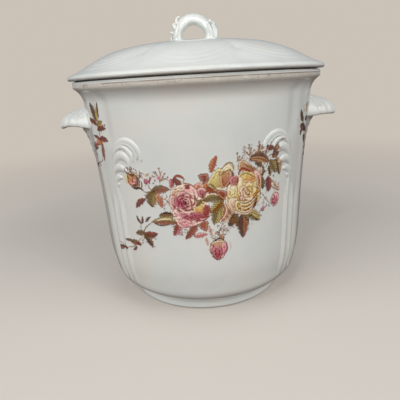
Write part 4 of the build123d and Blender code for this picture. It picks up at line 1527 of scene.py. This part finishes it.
@dataclass(frozen=True)
class LidShell:
    """Low crowned lid with a ring of shallow oval panels and a thin flared lip."""

    columns: int = 440
    top_r: tuple[float, ...] = (0.0, 18.0, 37.0, 60.0, 88.0, 103.0, 118.0, 132.0, 138.4)
    top_z: tuple[float, ...] = (281.1, 280.9, 280.0, 277.2, 272.0, 266.8, 259.7, 252.6, 249.9)
    under_r: tuple[float, ...] = (0.0, 18.0, 37.0, 60.0, 88.0, 103.0, 114.0)
    under_z: tuple[float, ...] = (276.1, 275.9, 275.0, 272.1, 266.6, 261.0, 255.2)
    edge_radius: float = 139.7
    edge_z: float = 247.7
    edge_rounding: float = 2.0
    panels: int = 8
    panel_turn: float = -3.5
    panel_height: float = 0.75
    panel_r: float = 78.0
    panel_half_size: tuple[float, float] = (42.7, 50.0)

    def relief(self, angle: Array, radius: Array) -> Array:
        """Height of the moulding on the top.

        Each panel is an oval about a point panel_r from the axis, and the level is 1 on its edge. The panel
        sinks towards its edge over soft ripples, neighbours meet in a crease, and a dimple marks its end.
        """
        step = 2.0 * math.pi / self.panels
        local = np.mod(angle - math.radians(self.panel_turn) + step / 2.0, step) - step / 2.0
        side, out = radius * np.sin(local), radius * np.cos(local) - self.panel_r
        level = np.hypot(side / self.panel_half_size[0], out / self.panel_half_size[1])
        raised = 1.0 - smoothstep(0.62, 1.06, level)
        ripples = np.cos((level - 0.98) * 2.0 * math.pi / 0.13) * smoothstep(0.62, 0.84, level)
        ripples = ripples * (1.0 - smoothstep(1.0, 1.14, level)) * smoothstep(-10.0, 14.0, out)
        dimple = np.exp(-(((step / 2.0 - np.abs(local)) * radius / 3.0) ** 2 + ((radius - 106.0) / 4.0) ** 2))
        fade = smoothstep(34.0, 70.0, radius) * (1.0 - smoothstep(128.0, 136.0, radius))
        return self.panel_height * (1.1 * raised + 0.17 * ripples - 0.7 * dimple) * fade

    def build(self) -> Piece:
        """Revolve the section and lift the top by the panels; the edge wavers by a third of a millimetre."""
        top = SmoothCurve(self.top_r, self.top_z)
        under = SmoothCurve(self.under_r, self.under_z)
        radius = np.concatenate([np.linspace(0.0, 36.0, 14), np.linspace(38.0, 138.0, 104)])
        crown = np.stack([radius, top(radius)], axis=1)
        rounding = self.edge_rounding
        edge = arc_points((self.edge_radius - rounding - 0.3, self.edge_z), rounding, 62.0, -100.0, 12)
        seat = np.array([[133.5, 245.3], [130.0, 244.4], [129.0, 244.6], [128.4, 246.0], [127.6, 247.9]])
        ceiling = np.array([[124.0, 248.0], [119.0, 248.0], [116.5, 248.6]])
        hollow_r = np.linspace(114.0, 0.0, 40)
        hollow = np.stack([hollow_r, under(hollow_r)], axis=1)
        profile = np.concatenate([hollow[::-1], ceiling[::-1], seat[::-1], edge[::-1], crown[::-1]])
        angle = np.linspace(-math.pi, math.pi, self.columns, endpoint=False)
        first = len(profile) - len(crown)
        shift = np.zeros((len(profile), self.columns, 2))
        shift[first:, :, 1] = self.relief(angle[None, :], crown[::-1, :1])
        near_edge = smoothstep(122.0, 138.0, profile[:, :1])
        waver = 0.16 * np.sin(3.0 * angle + 0.7) + 0.10 * np.sin(7.0 * angle) - 0.15
        shift[..., 0] = near_edge * waver[None, :]
        return revolve("lid_shell_glazed", profile, self.columns, shift)


@dataclass(frozen=True)
class LidFlange:
    """Locating ring under the lid that drops inside the rim."""

    outer: float = 124.5
    inner: float = 119.0
    bottom_z: float = 236.5
    top_z: float = 248.4
    columns: int = 300

    def build(self) -> Piece:
        """Revolve a section with a rounded lower edge."""
        half = (self.outer - self.inner) / 2.0
        middle = (self.outer + self.inner) / 2.0
        low = arc_points((middle, self.bottom_z + half), half, -180.0, 0.0, 16)
        high = np.array([[self.outer, z] for z in (242.0, 246.0, self.top_z)])
        back = np.array([[self.inner, z] for z in (self.top_z, 246.0, 242.0)])
        return revolve("lid_flange_glazed", np.concatenate([low, high, back, low[:1]]), self.columns)


def fuse(piece: Piece, voxel: float, smoothing: int) -> Piece:
    """Melt a piece's overlapping shells into one skin, as thick glaze does.

    Args:
        piece: Object made of closed shells.
        voxel: Size of the voxels in millimetres.
        smoothing: Rounds of vertex averaging.

    Returns:
        The same object with its new mesh.
    """
    remesh = piece.modifiers.new("melt", "REMESH")
    remesh.mode = "VOXEL"
    remesh.voxel_size = voxel * MM
    remesh.use_smooth_shade = True
    smooth = piece.modifiers.new("settle", "SMOOTH")
    smooth.factor = 0.5
    smooth.iterations = smoothing
    graph = bpy.context.evaluated_depsgraph_get()
    mesh = bpy.data.meshes.new_from_object(piece.evaluated_get(graph))
    piece.modifiers.clear()
    piece.data = mesh
    mesh.name = piece.name
    mesh.polygons.foreach_set("use_smooth", np.ones(len(mesh.polygons), dtype=bool))
    return piece


@dataclass(frozen=True)
class BowForm:
    """Arched bow handle with an acanthus scroll on its left leg and a pointed leaf on its right leg."""

    reach: float = 17.4
    rise: float = 18.45
    centre_z: float = 285.0
    leg_z: float = 278.2
    half_thickness: float = 5.65
    half_depth: float = 6.6

    def build_bow(self) -> Piece:
        """Sweep an oval bar with soft flutes along half an oval over two legs that widen at their feet."""
        arc = arc_points((0.0, 0.0), 1.0, 180.0, 0.0, 72) * np.array([self.reach, self.rise])
        arc = arc + np.array([0.0, self.centre_z])
        left = np.array([[-self.reach, z] for z in np.linspace(self.leg_z, self.centre_z, 7)[:-1]])
        right = left[::-1] * np.array([-1.0, 1.0])
        line = np.concatenate([left, arc, right])
        path = np.stack([line[:, 0], np.zeros(len(line)), line[:, 1]], axis=1)
        foot = 1.0 + 0.35 * (1.0 - smoothstep(278.0, 288.0, path[:, 2]))
        slim = 1.0 - 0.15 * smoothstep(300.0, 292.0, path[:, 2])
        width = self.half_thickness * foot * slim
        depth = self.half_depth * foot * (1.0 - 0.12 * smoothstep(294.0, 302.0, path[:, 2]))
        bow = sweep("bow_glazed", path, width, depth, sides=64, ribs=0.035, count=6)
        return fuse(bow, 0.55, 2)

    def lobe(self, rows: Array) -> Piece:
        """One curled leaf tip: a round-ended bar through rows of (x, y, z, half width, half depth)."""
        path = curve_through(rows[:, :3], 30)
        ends = np.sqrt(np.clip(1.0 - np.abs(np.linspace(-1.0, 1.0, 30)) ** 4.4, 0.0, 1.0))
        size = np.maximum(curve_through(rows[:, 3:], 30) * ends[:, None], 0.05)
        return sweep("tip", path, size[:, 0], size[:, 1], sides=20)

    def build_leaf(self, name: str, middle: tuple[str, ...], flank: str) -> Piece:
        """Melt together a leaf's lobes, each given by rows of "x,y,z,half width,half depth".

        Args:
            name: Name of the piece.
            middle: Lobes in the middle plane.
            flank: Lobe on the back face, which the front face has mirrored.

        Returns:
            The leaf as one skin.
        """
        lobes = [self.lobe(places(rows)) for rows in middle]
        for y in (-1.0, 1.0):
            lobes.append(self.lobe(places(flank) * np.array([1.0, y, 1.0, 1.0, 1.0])))
        return fuse(join(name, lobes), 0.45, 2)

    def build_left_leaf(self) -> Piece:
        """Acanthus scroll: a fin that hooks out of the foot over a small curl, and low lobes up the arch."""
        middle = (
            "-18.2,0,281.4,2.4,6.6 -19.6,0,287.2,2.1,6.0 -22.2,0,290.6,1.7,4.8 -26.2,0,291.2,1.3,2.6",
            "-20.0,0,280.6,2.2,5.4 -23.4,0,282.4,1.9,4.6 -24.6,0,285.4,1.5,3.6 -22.6,0,287.0,1.0,2.2",
            "-18.0,0,292.0,2.6,5.4 -20.2,0,296.0,2.3,4.8 -21.6,0,299.0,1.9,3.6 -20.6,0,301.2,1.2,2.2",
            "-17.0,0,297.4,2.4,5.0 -18.0,0,302.0,2.2,4.4 -16.6,0,305.4,1.8,3.6 -13.0,0,307.0,1.1,2.4",
        )
        flank = "-19,4.2,280.6,2.8,2.2 -18.6,5.6,288,3,2.2 -16.4,5.8,295,2.6,1.9 -12.4,4.6,300.4,1.4,1.2"
        return self.build_leaf("bow_scroll_left", middle, flank)

    def build_right_leaf(self) -> Piece:
        """Broad leaf that stands against the right leg, with its tip turned out at the top."""
        middle = (
            "17.0,0,302.4,2.4,4.8 19.6,0,299.6,2.5,4.8 22.4,0,298.6,2.2,3.8 25.4,0,298.2,1.3,2.0",
            "21.0,0,279.6,5.0,6.6 21.4,0,286.0,4.9,6.0 21.8,0,292.0,4.4,5.4 21.6,0,299.0,2.6,4.0",
            "24.0,0,281.6,1.8,5.6 25.0,0,286.0,1.9,5.2 25.2,0,291.0,1.7,4.4 23.8,0,296.0,1.2,3.0",
        )
        flank = "19.4,4.2,280.6,2.8,2.2 19,5.8,288,3.1,2.2 17,6,295,2.8,1.9 12.4,4.8,300.8,1.3,1.2"
        return self.build_leaf("bow_scroll_right", middle, flank)


# ---- light and camera


@dataclass(frozen=True)
class Studio:
    """Camera at arm's length, a large soft lamp at each side, weaker ones in front, and a pale floor."""

    lens_mm: float = 33.63
    place: tuple[float, float, float] = (0.0, -447.8, 238.4)
    pitch: float = 17.55
    yaw: float = -0.423
    roll: float = -3.277
    jar_turn: float = -1.0

    def camera(self) -> Piece:
        """Build the camera: it looks down by the pitch, tilts by the roll, and turns about the jar's axis."""
        pitch, yaw, roll = (math.radians(angle) for angle in (self.pitch, self.yaw, self.roll))
        ahead = np.array([math.sin(yaw) * math.cos(pitch), math.cos(yaw) * math.cos(pitch), -math.sin(pitch)])
        right = np.array([math.cos(yaw), -math.sin(yaw), 0.0])
        up = np.cross(right, ahead)
        rolled_right = math.cos(roll) * right + math.sin(roll) * up
        rolled_up = -math.sin(roll) * right + math.cos(roll) * up
        matrix = np.eye(4)
        matrix[:3, 0], matrix[:3, 1], matrix[:3, 2] = rolled_right, rolled_up, -ahead
        matrix[:3, 3] = np.array(self.place) * MM
        data = bpy.data.cameras.new("camera")
        data.lens = self.lens_mm
        data.sensor_width = 36.0
        data.clip_start = 0.01
        camera = bpy.data.objects.new("camera", data)
        camera.matrix_world = Matrix.Rotation(math.radians(self.jar_turn), 4, "Z") @ Matrix(matrix.tolist())
        bpy.context.scene.collection.objects.link(camera)
        bpy.context.scene.camera = camera
        return camera

    def lamp(
        self, name: str, place: tuple[float, float, float], size: tuple[float, float], watts: float,
        target: tuple[float, float, float] = (0.0, 0.0, 0.15),
    ) -> Piece:
        """White rectangular lamp at a place in metres that faces the target."""
        data = bpy.data.lights.new(name, "AREA")
        data.shape = "RECTANGLE"
        data.size, data.size_y = size
        data.energy = watts
        lamp = bpy.data.objects.new(name, data)
        away = np.array(place) - np.array(target)
        away = away / np.linalg.norm(away)
        across = np.cross([0.0, 0.0, 1.0], away)
        across = across / np.linalg.norm(across)
        matrix = np.eye(4)
        matrix[:3] = np.stack([across, np.cross(away, across), away, place], axis=1)
        lamp.matrix_world = Matrix(matrix.tolist())
        bpy.context.scene.collection.objects.link(lamp)
        return lamp

    def world(self) -> None:
        """Pale surroundings: an even dim light on the object, and a pale backdrop where it is seen."""
        world = bpy.data.worlds.new("pale_room")
        bpy.context.scene.world = world
        world.use_nodes = True
        tree = world.node_tree
        output = tree.nodes["World Output"]
        ambient = tree.nodes["Background"]
        ambient.inputs["Color"].default_value = linear("#e4e6ea")
        ambient.inputs["Strength"].default_value = 0.40
        seen = add_node(tree, "Background", Color=linear(PaleStage.backdrop), Strength=1.0)
        path = add_node(tree, "LightPath")
        plain = add_node(
            tree, "Math", {"operation": "MAXIMUM"},
            _0=path.outputs["Is Camera Ray"], _1=path.outputs["Is Transmission Ray"],
        )
        mixed = add_node(tree, "MixShader", Fac=plain.outputs[0])
        tree.links.new(ambient.outputs[0], mixed.inputs[1])
        tree.links.new(seen.outputs[0], mixed.inputs[2])
        tree.links.new(mixed.outputs[0], output.inputs["Surface"])

    def floor(self) -> Piece:
        """Large floor plane just under the foot ring."""
        half, z = 3000.0, -0.05
        corners = np.array([[-half, -half, z], [half, -half, z], [half, half, z], [-half, half, z]])
        floor = build_mesh("floor", corners, np.array([[0, 1, 2, 3]]), weld=False)
        floor.data.materials.append(PaleStage().material())
        return floor

    def build(self) -> None:
        """Build the camera, the lamps, the surroundings and the floor."""
        self.camera()
        self.world()
        self.floor()
        self.lamp("window_left", (-1.5, -1.15, 1.25), (1.9, 1.5), 24.0)
        self.lamp("window_right", (1.5, -1.15, 1.25), (1.9, 1.5), 19.5)
        self.lamp("room_behind", (-0.3, -2.2, 0.8), (1.2, 0.6), 12.0, (0.0, 0.0, 0.08))
        self.lamp("bulb_left", (-0.30, -0.95, 1.15), (0.10, 0.10), 1.6)
        self.lamp("bulb_right", (0.62, -0.80, 1.05), (0.10, 0.10), 1.0)


# ---- putting it together


def place_piece(
    piece: Piece, body: str, material: Material, nodes: tuple[str, ...] = ()
) -> None:
    """Give a finished piece its material and its body, and let it stand for CAD nodes.

    Args:
        piece: Finished mesh object.
        body: Body of the frame that it rides on.
        material: Finish.
        nodes: CAD nodes that it replaces.
    """
    piece.data.materials.clear()
    piece.data.materials.append(material)
    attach(piece, body)
    if nodes:
        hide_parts(*nodes)
    LOG.info("%s: %d faces on %s", piece.name, len(piece.data.polygons), body)


@dataclass
class Crock:
    """The crock: shell, foot, gilding, ornaments, handles and print."""

    ornaments: Ornaments = field(default_factory=Ornaments)
    corners: tuple[tuple[str, float], ...] = (
        ("front_right", 45.0), ("front_left", -45.0), ("back_right", 135.0), ("back_left", -135.0),
    )

    def build_shell(self, glaze: Material, foot: Material, gilding: Material) -> None:
        """Build the thrown body, its foot ring and the gilding on its rim."""
        jar = self.ornaments.jar
        place_piece(CrockShell(jar).build(), "crock", glaze, ("crock_body", "crock_rim"))
        place_piece(FootRing().build(), "crock", foot, ("foot_ring",))
        place_piece(RimGilding(jar).build(), "crock", gilding)

    def build_print(self, glaze: Material) -> None:
        """Lay the rose spray and the two leaf sprays on the front, and the same again on the back."""
        sheets = {"rose_print": RoseSpray().paint(), "leaf_print_left": LeafSpray().left(),
                  "leaf_print_right": LeafSpray().right()}
        for name, sheet in sheets.items():
            for side, turned in (("front", 0.0), ("back", 180.0)):
                piece = sheet.build(f"{side}_{name}", self.ornaments, turned)
                place_piece(piece, "crock", glaze)

    def build_ornaments(self, glaze: Material) -> None:
        """Build a plume and a pair of reeds at each corner of the jar."""
        wall = self.ornaments
        for corner, angle in self.corners:
            plume = relief_patch(
                f"{corner}_plume_relief", wall.jar, angle, (-7.0, 44.0), (112.0, 200.0), (150, 240),
                wall.plume,
            )
            place_piece(plume, "crock", glaze, (f"{corner}_plume",))
            reeds = relief_patch(
                f"{corner}_reed_relief", wall.jar, angle, (-20.5, 7.5), (20.0, 142.0), (80, 100), wall.reeds
            )
            place_piece(reeds, "crock", glaze, (f"{corner}_reeds",))

    def build_handles(self, glaze: Material) -> None:
        """Build both lug handles with their leaf brackets."""
        jar = self.ornaments.jar
        for name, side, arch in (("right", 1.0, 1.4), ("left", -1.0, 3.6)):
            lug = LugForm(lip_arch=arch).build(f"{name}_lug", side, jar)
            place_piece(lug, "crock", glaze, (f"{name}_handle",))
            leaf = relief_patch(
                f"{name}_acanthus", jar, 90.0 * side, (-16.0, 16.0), (145.0, 199.0), (90, 130),
                HandleLeafForm(),
            )
            place_piece(leaf, "crock", glaze, (f"{name}_handle_leaf",))


@dataclass
class Lid:
    """The lid: shell, locating ring and bow handle."""

    bow: BowForm = field(default_factory=BowForm)

    def build(self, glaze: Material, bow_glaze: Material) -> None:
        """Build every piece of the lid."""
        place_piece(LidShell().build(), "lid", glaze, ("lid_shell",))
        place_piece(LidFlange().build(), "lid", glaze, ("lid_flange",))
        place_piece(self.bow.build_bow(), "lid", bow_glaze, ("lid_bow_handle",))
        place_piece(self.bow.build_left_leaf(), "lid", bow_glaze, ("bow_leaf_left",))
        place_piece(self.bow.build_right_leaf(), "lid", bow_glaze, ("bow_leaf_right",))


def main() -> None:
    """Build the jar, its light and its camera."""
    bpy.context.scene.view_settings.view_transform = "Standard"
    # The crease heights lay painted shade: under the rim and above the foot on the wall, and above the foot
    # and at its bottom edge on the foot ring.
    glaze = GlazedIronstone(name="glazed_ironstone_wall", crease_shade_z=(12.0, 237.6)).material()
    foot_glaze = GlazedIronstone(name="glazed_ironstone_foot", crease_shade_z=(11.5, 0.6)).material()
    # Painted light: the handles, the lid and the bow take paler copies of the wall's glaze, as they catch
    # more light than the wall.
    handle_glaze = GlazedIronstone(name="glazed_ironstone_handles", body="#dcded9").material()
    lid_glaze = GlazedIronstone(name="glazed_ironstone_lid", body="#dadcd7").material()
    bow_glaze = GlazedIronstone(name="glazed_ironstone_bow", body="#dfe2de", mottle_mm=20.0).material()
    crock = Crock()
    crock.build_shell(glaze, foot_glaze, WornGilding().material())
    crock.build_ornaments(glaze)
    crock.build_print(GlazedIronstone(name="transfer_print_under_glaze").material(printed=True))
    crock.build_handles(handle_glaze)
    Lid().build(lid_glaze, bow_glaze)
    Studio().build()


if __name__ == "__main__":
    main()
